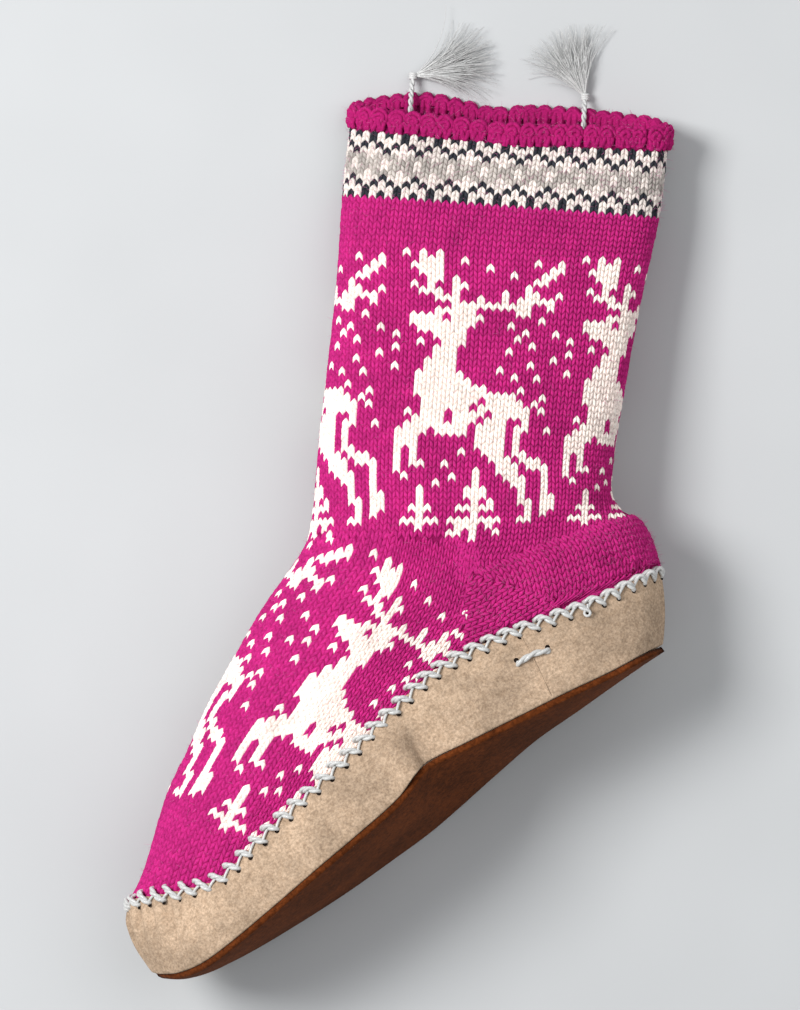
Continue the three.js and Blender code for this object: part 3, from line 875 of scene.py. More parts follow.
def tube_tree():
    """Strands: a tube along each spline, as thick as its points' radius says."""
    tree, start, end = tree_with("Strands", [
        ("Radius", "NodeSocketFloat", 0.001), ("Sides", "NodeSocketInt", 5),
        ("Material", "NodeSocketMaterial", None)])
    inputs = start.outputs
    ring = node(tree, "GeometryNodeCurvePrimitiveCircle", {
        "Resolution": inputs["Sides"], "Radius": inputs["Radius"]})
    tube = node(tree, "GeometryNodeCurveToMesh", {
        "Curve": inputs["Geometry"], "Profile Curve": ring.outputs[0],
        "Scale": node(tree, "GeometryNodeInputRadius").outputs[0], "Fill Caps": True})
    tree_end(tree, start, end, tube.outputs[0])
    return tree


def strands_object(name, paths, radii, radius, sides, material):
    """A mesh of tubes from lists of points in the row frame."""
    data = bpy.data.curves.new(name, "CURVE")
    data.dimensions = "3D"
    for path, swell in zip(paths, radii):
        spline = data.splines.new("POLY")
        spline.points.add(len(path) - 1)
        spline.points.foreach_set("co", np.column_stack([path, np.ones(len(path))]).ravel())
        spline.points.foreach_set("radius", np.broadcast_to(swell, len(path)).astype(float))
    thing = bpy.data.objects.new(name, data)
    bpy.context.scene.collection.objects.link(thing)
    return evaluated(thing, tube_tree(), {"Radius": radius, "Sides": sides, "Material": material})


# Materials

def new_material(name, colour, roughness, sheen=0.0, sheen_tint=(1, 1, 1), specular=0.3):
    material = bpy.data.materials.new(name)
    material.use_nodes = True
    tree = material.node_tree
    shader = tree.nodes["Principled BSDF"]
    shader.inputs["Base Color"].default_value = (*colour, 1)
    shader.inputs["Roughness"].default_value = roughness
    shader.inputs["Specular IOR Level"].default_value = specular
    shader.inputs["Sheen Weight"].default_value = sheen
    shader.inputs["Sheen Roughness"].default_value = 0.5
    shader.inputs["Sheen Tint"].default_value = (*sheen_tint, 1)
    return material, tree, shader


def noise(tree, scale, detail=3, roughness=0.6):
    place = node(tree, "ShaderNodeTexCoord").outputs["Object"]
    return node(tree, "ShaderNodeTexNoise", {
        "Vector": place, "Scale": scale, "Detail": detail, "Roughness": roughness}).outputs[0]


def ramp(tree, value, low, high, bottom, top):
    made = node(tree, "ShaderNodeMapRange", {
        "Value": value, "From Min": low, "From Max": high, "To Min": bottom, "To Max": top})
    return made.outputs["Result"]


def tinted(tree, colour, factor):
    """A colour, or a socket with one, times a factor socket."""
    mix = node(tree, "ShaderNodeVectorMath", operation="SCALE")
    if isinstance(colour, bpy.types.NodeSocket):
        tree.links.new(colour, mix.inputs[0])
    else:
        mix.inputs[0].default_value = colour
    tree.links.new(factor, mix.inputs["Scale"])
    return mix.outputs[0]


def bumped(tree, shader, height, strength, distance):
    bump = node(tree, "ShaderNodeBump", {"Height": height, "Strength": strength, "Distance": distance})
    tree.links.new(bump.outputs[0], shader.inputs["Normal"])


WOOL_BASE = (0.5, 0.03, 0.2)        # for a program that can't read the material's nodes


def wool_material(name, colour=None):
    """Spun wool in one colour, or in that of each stitch's yarn."""
    material, tree, shader = new_material(name, WOOL_BASE, 1.0, specular=0.05)
    if colour is None:
        colour = node(tree, "ShaderNodeAttribute", attribute_name="yarn").outputs["Color"]
    blotch = ramp(tree, noise(tree, scale=60, detail=2), 0.3, 0.7, 0.88, 1.1)
    fibre = ramp(tree, noise(tree, scale=1400, detail=4, roughness=0.7), 0.3, 0.7, 0.7, 1.28)
    tint = tinted(tree, colour, maths(tree, "MULTIPLY", blotch, fibre))
    tree.links.new(tint, shader.inputs["Base Color"])
    bumped(tree, shader, noise(tree, scale=2200, detail=4, roughness=0.7), 0.5, 0.00014)
    return material


def suede_material(name, colour, dark, scale, depth, contrast):
    """Napped leather, mottled between two colours."""
    material, tree, shader = new_material(name, colour, 1.0, 0.03, (1, 0.9, 0.8), 0.04)
    broad = ramp(tree, noise(tree, scale=45), 0.35, 0.65, 1 - contrast, 1 + contrast * 0.6)
    nap = noise(tree, scale=scale, detail=4, roughness=0.7)
    fine = ramp(tree, nap, 0.35, 0.65, 1 - contrast * 1.4, 1 + contrast)
    mottle = ramp(tree, noise(tree, scale=420, detail=4, roughness=0.7), 0.4, 0.65, 0.0, 1.0)
    mix = node(tree, "ShaderNodeMix", data_type="RGBA")
    mix.inputs["A"].default_value = (*colour, 1)
    mix.inputs["B"].default_value = (*dark, 1)
    tree.links.new(mottle, mix.inputs["Factor"])
    tint = tinted(tree, mix.outputs["Result"], maths(tree, "MULTIPLY", broad, fine))
    tree.links.new(tint, shader.inputs["Base Color"])
    bumped(tree, shader, noise(tree, scale=scale * 1.6, detail=5, roughness=0.7), 0.6, depth)
    return material


def thread_material(name, colour, roughness):
    """Thread or fibre with faint streaks."""
    material, tree, shader = new_material(name, colour, roughness, 0.2, (1, 1, 1), 0.5)
    streak = ramp(tree, noise(tree, scale=1500), 0.3, 0.7, 0.75, 1.1)
    tree.links.new(tinted(tree, colour, streak), shader.inputs["Base Color"])
    bumped(tree, shader, noise(tree, scale=3000), 0.3, 0.0002)
    return material


def stranded_wool(name, colours):
    return wool_material(name)


# Dark magenta lining: painted shade between the stitches and inside the sock
def lining_wool(name, colours):
    return wool_material(name, colours.lining)


def rim_wool(name, colours):
    return wool_material(name, colours.rim)


def side_suede(name, colours):
    return suede_material(name, colours.side, colours.side_dark, scale=1000, depth=0.0002, contrast=0.22)


def sole_suede(name, colours):
    return suede_material(name, colours.sole, colours.sole_dark, scale=900, depth=0.0002, contrast=0.26)


def felt(name, colours):
    return suede_material(name, colours.felt, colours.felt_dark, scale=900, depth=0.0006, contrast=0.1)


def hole(name, colours):
    # Near-black: painted shade inside the stitch holes
    shade_black, shade_blacker = (0.015, 0.01, 0.008), (0.01, 0.006, 0.005)
    return suede_material(name, shade_black, shade_blacker, scale=600, depth=0.0002, contrast=0.2)


def sewing_cord(name, colours):
    return thread_material(name, colours.cord, roughness=0.32)


def frayed_thread(name, colours):
    return thread_material(name, colours.fray, roughness=0.35)


def wool_fibre(name, colours):
    return thread_material(name, colours.fibre, roughness=0.8)


def shade(maker):
    """The material of one of the functions above, made when it is first asked for."""
    name = maker.__name__.replace("_", " ").capitalize()
    return bpy.data.materials.get(name) or maker(name, bpy.context.scene.slipper_colours)


# Shared forms

def sheet_faces(rows, columns, offset=0, flip=False):
    """The quads of a grid of points."""
    faces = []
    for i in range(rows - 1):
        for j in range(columns - 1):
            a = offset + i * columns + j
            quad = (a, a + columns, a + columns + 1, a + 1)
            faces.append(quad[::-1] if flip else quad)
    return faces


def ring_faces(base, rings, sides):
    """The quads between rings of points."""
    faces = []
    for n in range(rings - 1):
        for m in range(sides):
            a, b = base + n * sides + m, base + n * sides + (m + 1) % sides
            faces.append((a, b, b + sides, a + sides))
    return faces


def grid_normals(grid):
    return unit(np.cross(np.gradient(grid, axis=0), np.gradient(grid, axis=1)))


def smooth_path(points, count):
    """A Catmull-Rom curve through the points."""
    points = np.asarray(points, float)
    n = len(points)
    t = np.linspace(0, n - 1, count)
    i = np.clip(t.astype(int), 0, n - 2)
    before, after = points[np.clip(i - 1, 0, n - 1)], points[np.clip(i + 2, 0, n - 1)]
    return smooth(before, points[i], points[i + 1], after, (t - i)[:, None])


def plies(path, radius, turns, points_per_mm=2.2):
    """Two strands twisted round each other along a path in millimetres."""
    path = np.asarray(path, float)
    run = run_along(path)
    at = np.linspace(0, run[-1], max(int(run[-1] * points_per_mm), 8))
    line = on_run(path, run, at)
    tangent = unit(np.gradient(line, axis=0))
    side = unit(np.cross(tangent, FLOOR_NORMAL + 0.01))
    up = np.cross(side, tangent)
    made = []
    for phase in (0, math.pi):
        angle = (at * turns * 2 * math.pi + phase)[:, None]
        made.append(line + radius * (np.cos(angle) * side + np.sin(angle) * up))
    return made


def ripple(x, y, seed):
    """A smooth unevenness, about -1 to 1."""
    random = np.random.default_rng(seed)
    total = 0
    for _ in range(6):
        fx, fy, phase = random.uniform(-1, 1), random.uniform(-1, 1), random.uniform(0, 6.28)
        total = total + np.sin(fx * x + fy * y + phase)
    return total / 3.2


def wave(distance, pitch, phase=0.0):
    return np.sin(distance * 2 * np.pi / pitch + phase)


def ramped(value, start, reach):
    """0 up to the start, and 1 from a reach further on."""
    return np.clip((value - start) / reach, 0, 1)


# The knit

def yarn_colours(name, yarns, colours, random):
    """A slightly different shade for each leg. The grey yarn is the most uneven one."""
    shades = np.array([tuple(c) for c in (colours.magenta, colours.white, colours.charcoal, colours.grey)])
    if name == "knit_band":
        shades[YARNS["W"]] = tuple(colours.band_white)
    shaded = shades[yarns] * random.uniform(0.88, 1.1, (len(yarns), 1))
    grey = np.array(yarns) == YARNS["G"]
    shaded[grey] *= random.uniform(0.75, 1.25, (int(grey.sum()), 1))
    return np.column_stack([np.clip(shaded, 0, 1), np.ones(len(shaded))])


def make_knit(sizes, colours):
    """The stitches of the band, the shaft, the foot and the heel."""
    tree = relief_tree()
    random = np.random.default_rng(11)
    for name, (quads, yarns) in knit_fields().items():
        points = placed(np.array(quads).reshape(-1, 3))
        thing = mesh_object(name, points, np.arange(len(points)).reshape(-1, 4))
        attribute = thing.data.attributes.new("yarn", "FLOAT_COLOR", "FACE")
        attribute.data.foreach_set("color", yarn_colours(name, yarns, colours, random).ravel())
        thing = evaluated(thing, tree, {
            "Rise": sizes.stitch_rise, "Crown": sizes.stitch_crown, "Shoulder": 0.8, "Point": 0.55,
            "Unevenness": sizes.stitch_unevenness, "Seed": sizes.stitch_seed,
            "Material": shade(stranded_wool)})
        finished(thing, shade(stranded_wool), ("upper",) if name == "knit_shaft" else ())


def make_lining():
    """The smooth fabric behind the stitches, with its inside. Its dark magenta is painted shade between the
    stitches and inside the sock.
    """
    behind = 0.62
    g = np.concatenate([np.linspace(0, HEEL, 121), np.linspace(HEEL, TOP, 81)[1:]])
    grid = sock_point(g[:, None], np.linspace(-1, 1, 97)[None])
    rows, columns = grid.shape[:2]
    normal = grid_normals(grid)
    outer = grid - behind * normal
    inner = pressed(grid - KNIT * normal, KNIT)
    size = rows * columns
    faces = sheet_faces(rows, columns) + sheet_faces(rows, columns, size, True)
    top = (rows - 1) * columns
    for j in range(top, top + columns - 1):
        faces.append((j, size + j, size + j + 1, j + 1))
    open_rows = int((g <= HEEL).sum())
    for column, flip in ((0, False), (columns - 1, True)):
        for i in range(open_rows - 1):
            a, b = i * columns + column, (i + 1) * columns + column
            quad = (a, size + a, size + b, b)
            faces.append(quad[::-1] if flip else quad)
    points = placed(np.concatenate([outer.reshape(-1, 3), inner.reshape(-1, 3)]))
    finished(mesh_object("knit_wall", points, faces), shade(lining_wool))


# The rolled rim

RIM_CORE = np.array([       # down the wall, out of it, half width, half thickness
    [8.2, -0.9, 0.5, 0.4], [6.6, 0.1, 0.93, 1.0], [4.6, 0.55, 1.0, 1.25], [2.4, 0.7, 1.0, 1.3],
    [0.6, 0.5, 0.97, 1.35], [-0.6, -0.5, 0.9, 1.35], [-0.9, -1.6, 0.85, 1.3], [-0.5, -2.7, 0.9, 1.3],
    [0.9, -3.5, 0.97, 1.25], [3.0, -3.7, 1.0, 1.2], [5.0, -3.4, 0.95, 1.0], [6.6, -2.6, 0.5, 0.4],
])
RIM_LOOPS = [        # across in half widths of a lobe, down the wall and out of it in mm
    [(-0.86, 3.4, 0.0), (-0.88, 1.4, 0.9), (-0.5, -0.2, 1.1), (0, -0.9, 0.9),
     (0.5, -0.2, 1.1), (0.88, 1.4, 0.9), (0.86, 3.4, 0.0)],
    [(-0.3, 4.0, 0.9), (-0.5, 2.4, 1.3), (0.1, 1.1, 1.5), (0.5, 2.6, 1.4), (0.25, 4.2, 0.8)],
    [(-0.9, 3.7, 0.7), (-0.72, 5.2, 1.2), (-0.52, 7.4, 0.0)],
    [(-0.1, 3.7, 0.9), (-0.28, 5.2, 1.3), (-0.48, 7.4, 0.0)],
    [(0.1, 3.7, 0.9), (0.28, 5.2, 1.3), (0.48, 7.4, 0.0)],
    [(0.9, 3.7, 0.7), (0.72, 5.2, 1.2), (0.52, 7.4, 0.0)],
    [(-0.95, 0.9, -1.5), (-0.5, -1.0, -1.1), (0, -1.5, -1.0), (0.5, -1.0, -1.1), (0.95, 0.9, -1.5)],
    [(-0.86, 3.6, -3.6), (-0.86, 1.2, -3.9), (0, -0.5, -3.3), (0.86, 1.2, -3.9), (0.86, 3.6, -3.6)],
    [(-0.4, 1.4, -3.9), (-0.45, 4.0, -4.2), (-0.4, 7.0, -3.4)],
    [(0.4, 1.4, -3.9), (0.45, 4.0, -4.2), (0.4, 7.0, -3.4)],
]
CORE_SIDES, CORE_WIDTH, CORE_THICKNESS = 16, 0.9, 0.75
LEAST_LOBE = 2.9


def lobe_frames():
    """For each lobe of the rim its top, its ways along, up and out, and its half width."""
    lattice = shaft_lattice(np.array([0, 1.5, 3.0]))
    normal = grid_normals(lattice)
    last = lattice.shape[1] - 1
    frames = []
    for j in range(2, 2 * (NEAR + FAR), 4):
        top = lattice[0, j]
        along_rim = unit(lattice[0, min(j + 1, last)] - lattice[0, j - 1])
        wide = np.linalg.norm(lattice[0, min(j + 2, last)] - lattice[0, j - 2]) / 2
        frames.append((top, along_rim, unit(top - lattice[2, j]), normal[0, j], max(wide, LEAST_LOBE)))
    return frames


def lobe_core(top, along_rim, up, out, wide):
    """The points of a lobe's padding, ring by ring."""
    angle = 2 * np.pi * np.arange(CORE_SIDES) / CORE_SIDES
    cos, sin = np.cos(angle), np.sin(angle)
    across = (np.sign(cos) * np.abs(cos) ** 0.85 * CORE_WIDTH * wide)[:, None]
    through = (np.sign(sin) * np.abs(sin) ** 0.9 * CORE_THICKNESS)[:, None]
    points = []
    for n, (down, proud, half_width, half_thickness) in enumerate(RIM_CORE):
        before, after = RIM_CORE[max(n - 1, 0)], RIM_CORE[min(n + 1, len(RIM_CORE) - 1)]
        run = unit(-up * (after[0] - before[0]) + out * (after[1] - before[1]))
        thick = unit(np.cross(along_rim, run))
        centre = top - up * down + out * proud
        points.extend(centre + along_rim * across * half_width + thick * through * half_thickness)
    return points


def lobe_strands(lobe, top, along_rim, up, out, wide, random):
    """The loops of yarn over a lobe, with their swelling."""
    strands, swells = [], []
    shift = random.normal(0, 0.12, 3)
    grow = random.uniform(0.88, 1.1)
    for loop in RIM_LOOPS:
        loop = np.array(loop, float)
        sway = random.normal(0, 0.07, len(loop))
        across = wide * (loop[:, :1] + shift[0] + sway[:, None])
        down = loop[:, 1:2] * grow + shift[1]
        line = top + along_rim * across - up * down + out * (loop[:, 2:3] + shift[2])
        count = 6 * len(loop)
        strands.append(smooth_path(line, count))
        swells.append(random.uniform(0.9, 1.15) * (1 + 0.08 * np.sin(np.arange(count) * 1.1 + lobe)))
    return strands, swells


def make_rim(sizes):
    """Puffy lobes, two stitches wide, that turn over the collar's edge."""
    points, faces, strands, swells = [], [], [], []
    random = np.random.default_rng(8)
    rings = len(RIM_CORE)
    for lobe, frame_of_lobe in enumerate(lobe_frames()):
        base = len(points)
        points.extend(lobe_core(*frame_of_lobe))
        faces.extend(ring_faces(base, rings, CORE_SIDES))
        faces.append(tuple(range(base, base + CORE_SIDES))[::-1])
        last_ring = base + (rings - 1) * CORE_SIDES
        faces.append(tuple(range(last_ring, last_ring + CORE_SIDES)))
        more, their_swells = lobe_strands(lobe, *frame_of_lobe, random)
        strands += more
        swells += their_swells
    core = mesh_object("rim_core", above_floor(np.array(points), 0.0002), faces)
    recalculated(core)
    finished(core, shade(rim_wool))
    paths = [above_floor(strand, 0.0012) for strand in strands]
    yarn = strands_object("knit_rim", paths, swells, sizes.rim_yarn, 6, shade(rim_wool))
    finished(yarn, shade(rim_wool))


# The suede

JOINT_ROW, JOINT_SLANT = 11.68, 0.1
SIDE_RISES = np.concatenate([[0.0, 0.02], np.linspace(0.06, 0.94, 15), [0.975, 1.0]])


def seam_loop(count):
    """Rows, sides and distances round the seam, evenly spaced, from the heel over the near side and
    the toe to the far side and the heel."""
    per_side = 900
    fine = np.linspace(HEEL, 0, per_side)
    rows = np.concatenate([fine, fine[::-1][1:]])
    near = np.arange(len(rows)) < per_side
    points = np.where(near[:, None], side_point(rows, 1, 1), side_point(rows, 1, -1))
    run = run_along(points)
    at = np.linspace(0, run[-1], count)
    index = np.interp(at, run, np.arange(len(run)))
    return np.interp(at, run, rows), np.where(index > per_side - 0.5, -1, 1), at


def side_relief(row, rise, distance, x, near):
    """How far the side suede stands out: its unevenness, the toe's puckers, the folds at the ball
    and the lapped joint."""
    middle = np.sin(np.pi * np.clip(rise, 0, 1)) ** 0.5
    bulge = 0.28 * ripple(distance / 14, rise * 3, 5) + 0.12 * ripple(distance / 4, rise * 8, 9)
    toe = hump(row, 0, 4.2)
    pull = ramped(rise, 0.2, 1 / 1.5) * (1 - 0.7 * ramped(rise, 0.78, 0.14))
    pucker = 1.9 * toe * pull * (wave(distance, 8.6, 1.2 * rise) + 0.5 * wave(distance, 13.1, 2))
    fold = (2.0 * hump(x, 131, 5) - 2.4 * hump(x, 140.5, 3.6)) * np.clip(1 - rise * 0.85, 0, 1)
    beyond = row - (JOINT_ROW - JOINT_SLANT * rise)
    lap = 0.55 * np.where(beyond > 0, np.exp(-beyond / 0.5), 0)
    return bulge * middle + pucker + (fold + lap * middle) * near


def make_side(sizes):
    """The band of suede round the foot."""
    rows, sides, at = (values[:-1] for values in seam_loop(641))
    outer, inner = [], []
    for side in (1, -1):
        pick = sides == side
        row, rise, distance = np.broadcast_arrays(rows[pick][:, None], SIDE_RISES[None], at[pick][:, None])
        face = side_point(row, rise, side)
        normal = side_normal(row, rise, side)
        rounding = 0.35 * (ramped(rise, 0.95, 0.05) ** 2 + ramped(-rise, -0.04, 0.04) ** 2)
        out = side_relief(row, rise, distance, face[..., 0], side > 0) - rounding
        ends = rows[pick][:, None]
        up = unit(side_point(ends, 1, side) - side_point(ends, 0.9, side))
        drawn = 0.35 * wave(distance, sizes.hole_pitch * 1000) * ramped(rise, 0.8, 0.2)
        edge = up * drawn[..., None]
        outer.append(pressed(face + normal * out[..., None] + edge, 0.05))
        inner.append(pressed(face - normal * SUEDE + edge, SUEDE))
    loop = np.concatenate([np.concatenate(outer), np.concatenate(inner)[:, ::-1]], axis=1)
    count, around = loop.shape[:2]
    faces = []
    for i in range(count):
        for j in range(around):
            here, after, beside = i * around, ((i + 1) % count) * around, (j + 1) % around
            faces.append((here + j, here + beside, after + beside, after + j))
    thing = mesh_object("suede_side", placed(loop.reshape(-1, 3)), faces)
    recalculated(thing)
    finished(thing, shade(side_suede), ("side_wall",))


def plate_grid(rows, inset, height, bulge_way, floor, roughen):
    """One face of a sole: points of its outline drawn in, sagged to the floor and roughened."""
    across = np.sin(np.linspace(-1, 1, 33) * np.pi / 2)
    near, far = side_point(rows, 0, 1), side_point(rows, 0, -1)
    half = (near[:, 2] - far[:, 2]) / 2
    share = np.maximum(half - inset, 0) / np.maximum(half, 1)
    end = np.where(rows < HEEL / 2, 1, -1)
    shift = end * inset * END_INSET * np.maximum(0, 1 - half / ROUND_END)
    q = across[None] * share[:, None]
    point = far[:, None] + (near - far)[:, None] * ((1 + q) / 2)[..., None]
    point[..., 0] += shift[:, None]
    sag = SOLE_SAG * (1 - q ** 2) * np.minimum(half / ROUND_END, 1)[:, None]
    uneven = roughen * ripple(point[..., 0] / 16, point[..., 2] / 12, 3)
    flat_edge = 1 - np.abs(across[None]) ** 12
    point[..., 1] += height - sag + bulge_way * uneven * flat_edge
    return pressed(point, floor)


def plate(name, rows, inset, bottom, top, floor, roughen):
    """A sole between two heights."""
    low = plate_grid(rows, inset, bottom, -1, floor, roughen)
    high = plate_grid(rows, inset, top, 1, floor, roughen)
    count, wide = low.shape[:2]
    size = count * wide
    faces = sheet_faces(count, wide) + sheet_faces(count, wide, size, True)
    for j in (0, wide - 1):
        for i in range(count - 1):
            a, b = i * wide + j, (i + 1) * wide + j
            faces.append((a, size + a, size + b, b))
    for i in (0, count - 1):
        for j in range(wide - 1):
            a = i * wide + j
            faces.append((a, size + a, size + a + 1, a + 1))
    thing = mesh_object(name, placed(np.concatenate([low.reshape(-1, 3), high.reshape(-1, 3)])), faces)
    recalculated(thing)
    return thing


def make_soles():
    """The suede outsole and the felt insole."""
    rows = np.linspace(0.0, HEEL, 181)
    outsole = plate("suede_sole", rows, inset=0.7, bottom=-GAP - OUTSOLE, top=-GAP + 0.25, floor=0,
                    roughen=0.35)
    finished(outsole, shade(sole_suede), ("outsole",))
    low = 1.5 * GAP
    insole = plate("felt_insole", np.linspace(0.5, HEEL - 0.5, 121), inset=SUEDE + 5 * GAP, bottom=low,
                   top=low + INSOLE, floor=SUEDE + 2 * GAP, roughen=0.2)
    finished(insole, shade(felt), ("insole",))


# The stitching

TACK_ROWS, TACK_RISE = (11.35, 11.925), 0.588
CURL_ROW, CURL_RISE = 12.75, 0.86
SEAM_STEPS = 20         # points of the seam from one whip stitch to the next
HOLE_RINGS = ((1.05, 0.18), (0.7, 0.40), (0.0, 0.44))       # radius, height
HOLE_SIDES = 8


def on_side(row, rise, proud):
    """A point over the near side suede."""
    return side_point(row, rise, 1) + side_normal(row, rise, 1) * proud


def seam_frame(row, side):
    """The suede's edge, with the ways up and out."""
    edge = side_point(row, 1, side)
    return edge, unit(edge - side_point(row, 0.9, side)), side_normal(row, 0.97, side)


def knit_near(row, side, rise):
    """The knit's skin, a distance above the suede's edge."""
    edge, up, out = seam_frame(row, side)
    skin = sock_point(row, np.linspace(0.6, 1, 120) * -side)
    wanted = edge + up * rise - out * 0.6
    return skin[np.argmin(np.linalg.norm(skin - wanted, axis=1))]


def whip_stitches(pitch):
    """The bars over the suede's edge, the links between them, and the holes."""
    count = int(round(seam_loop(4)[2][-1] / pitch))
    rows, sides, _ = seam_loop(count * SEAM_STEPS + 1)
    random = np.random.default_rng(4)

    def spot(share):
        n = int(round(share * SEAM_STEPS)) % (count * SEAM_STEPS)
        return float(rows[n]), int(sides[n])

    bars, links, holes = [], [], []
    for stitch in range(count):
        wobble = random.uniform(-0.07, 0.07, 5)
        edge, up, out = seam_frame(*spot(stitch + wobble[0]))
        entry = edge - up * (2.7 + wobble[1] * 4)
        top = knit_near(*spot(stitch + 0.7 + wobble[2]), 2.9 + wobble[3] * 5)
        top_out = seam_frame(*spot(stitch + 0.7))[2]
        low, low_up, low_out = seam_frame(*spot(stitch + 0.24))
        high, high_up, high_out = seam_frame(*spot(stitch + 0.48))
        after, after_up, after_out = seam_frame(*spot(stitch + 1))
        bars.append([
            entry - out * 1.2,
            entry + out * 0.5,
            low - low_up * 1.0 + low_out * 1.35,
            high + high_up * 0.9 + high_out * 1.15,
            top + top_out * 0.95,
            top - top_out * 1.2])
        links.append([
            high + high_up * 0.5 + high_out * 0.3,
            high * 0.5 + after * 0.5 - after_up * 0.6 + after_out * 0.75,
            after - after_up * 2.2 + after_out * 0.55,
            after - after_up * 2.7 - after_out * 0.9])
        holes.append((entry - up * 0.8, out))
    return bars, links, holes


def tack_line():
    """The long stitch across the lapped joint."""
    first, last = TACK_ROWS
    return [
        on_side(first, TACK_RISE, -0.9),
        on_side(first + 0.03, TACK_RISE, 0.7),
        on_side((first + last) / 2, TACK_RISE + 0.03, 1.35),
        on_side(last - 0.03, TACK_RISE, 0.7),
        on_side(last, TACK_RISE, -0.9)]


def curl_line():
    """The cord's curled end near the heel."""
    middle, out = on_side(CURL_ROW, CURL_RISE, 1.0), side_normal(CURL_ROW, CURL_RISE, 1)
    up = seam_frame(CURL_ROW, 1)[1]
    across = np.cross(up, out)
    radius, climb = 1.15, 0.12
    line = [middle + up * 3.6 + across * 1.4, middle + up * 2.2 + across * 0.9]
    for n in range(9):
        angle = 0.6 + n * 0.85
        line.append(middle + radius * (across * math.cos(angle) + up * math.sin(angle)) + out * climb * n)
    return line


def make_lap_edge(sizes):
    """The raised edge of the suede's lapped joint."""
    seam = [on_side(JOINT_ROW - JOINT_SLANT * rise, rise, 0.45) for rise in np.linspace(0.06, 0.88, 14)]
    path = placed(smooth_path(seam, 60))
    edge = strands_object("lap_thread", [path], [1.0], sizes.lap_thread, 6, shade(side_suede))
    finished(edge, shade(side_suede))


def make_cord(bars, links, radius):
    """The whip stitches, the tack stitch and the curled end."""
    strands = []        # with their swelling
    for bar in bars:
        strands += [(ply, 1.0) for ply in plies(pressed(smooth_path(bar, 26), 1.4), 0.56, 0.12)]
    for link in links:
        strands.append((pressed(smooth_path(link, 14), 0.7), 0.75))
    strands += [(ply, 1.1) for ply in plies(smooth_path(tack_line(), 40), 0.5, 0.1)]
    strands.append((smooth_path(curl_line(), 60), 0.7))
    paths, swells = [placed(path) for path, _ in strands], [swell for _, swell in strands]
    cord = strands_object("whip_cord", paths, swells, radius, 7, shade(sewing_cord))
    finished(cord, shade(sewing_cord))


def make_holes(holes):
    """A dark dimple where the cord goes into the suede: its near-black colour is painted shade of the hole.
    """
    points, faces = [], []
    for centre, out in holes:
        a = unit(np.cross(out, [0.3, 1, 0.2]))
        b = np.cross(out, a)
        base = len(points)
        for radius, height in HOLE_RINGS:
            for n in range(HOLE_SIDES):
                angle = n * 2 * math.pi / HOLE_SIDES
                points.append(centre + out * height + radius * (a * math.cos(angle) + b * math.sin(angle)))
        faces.extend(ring_faces(base, len(HOLE_RINGS), HOLE_SIDES))
        faces.append(tuple(range(base, base + HOLE_SIDES))[::-1])
    thing = mesh_object("stitch_holes", placed(pressed(np.array(points), 0.02)), faces)
    recalculated(thing)
    finished(thing, shade(hole))


def make_stitching(sizes):
    """The cord along the seam, the suede's joint and the holes' painted shade."""
    bars, links, holes = whip_stitches(sizes.hole_pitch * 1000)
    for row in TACK_ROWS:
        holes.append((on_side(row, TACK_RISE + 0.045, 0), side_normal(row, TACK_RISE, 1)))
    make_lap_edge(sizes)
    make_cord(bars, links, sizes.cord)
    make_holes(holes)


# The frayed tufts and the loose fibres

TUFTS = [       # name, share across the collar, knot's distance out, fan in degrees, reach
    ("front_tuft", 0.178, 8.0, (-92, -50), 35),
    ("back_tuft", 0.728, 5.7, (0, 54), 31),
]
KNOT_HEIGHT, KNOT_SWELL = 2.6, 4.2      # the swell is in radii of a loose thread
FUZZY = ("knit_band", "knit_shaft", "knit_foot", "knit_heel", "knit_rim")


def tuft_place(across, ahead, aside, height):
    """A point by a tuft: its distance out of the collar and aside, and its height over the floor."""
    collar = SHAFT[-1]
    front, back = np.array([collar[0], collar[1], 0]), np.array([collar[2], collar[3], 0])
    cos = 1 - 2 * across
    k = math.acos(math.copysign(abs(cos) ** (collar[5] / 2), cos)) / math.pi
    middle = front + ACROSS * across * np.linalg.norm(back - front)
    foot = middle + OUTWARD * float((sock_point(TOP, k) - middle) @ OUTWARD)
    point = foot + OUTWARD * ahead + ACROSS * aside
    level = point @ FLOOR_NORMAL + BALL_EDGE * math.cos(LEAN)
    return point + FLOOR_NORMAL * (height - level)


def tuft_knot(across, out):
    """The twisted thread over the rim and the three turns round its end."""
    over = [(-9, 0.6, 6.4), (-6, 0.5, 8.2), (-2, 0.2, 8.4), (2, 0, 5.5), (out, 0, KNOT_HEIGHT)]
    paths = plies(smooth_path([tuft_place(across, *spot) for spot in over], 16), 0.55, 0.16)
    knot = tuft_place(across, out, 0, KNOT_HEIGHT)
    steps = 14
    for turn in (-1, 0, 1):
        ring = []
        for n in range(steps + 1):
            angle = 2 * math.pi * n / steps
            ring.append(knot + OUTWARD * 0.9 * turn + ACROSS * 1.25 * math.cos(angle)
                        + FLOOR_NORMAL * 1.15 * math.sin(angle))
        paths.append(np.array(ring))
    return paths


def loose_thread(across, out, fan, reach, random):
    """One thread that fans out of the knot over the floor."""
    low, high = fan
    share = random.beta(1.6, 1.6)
    turn = math.radians(low + (high - low) * share + random.normal(0, 2.5))
    size = reach * random.uniform(0.55, 1.02)
    curl = random.normal(0, 0.24)
    rise = random.uniform(0.2, 4.6)
    waver = random.normal(0, 0.5, 3)
    line = []
    for t in np.linspace(0, 1, 9):
        angle, d = turn + curl * t, size * t
        height = KNOT_HEIGHT + (rise - KNOT_HEIGHT) * t + 1.5 * math.sin(math.pi * t) * abs(waver[0])
        aside = -d * math.sin(angle) + waver[1] * math.sin(3 * t)
        line.append(tuft_place(across, out + d * math.cos(angle), aside, max(height, 0.25)))
    return np.array(line)


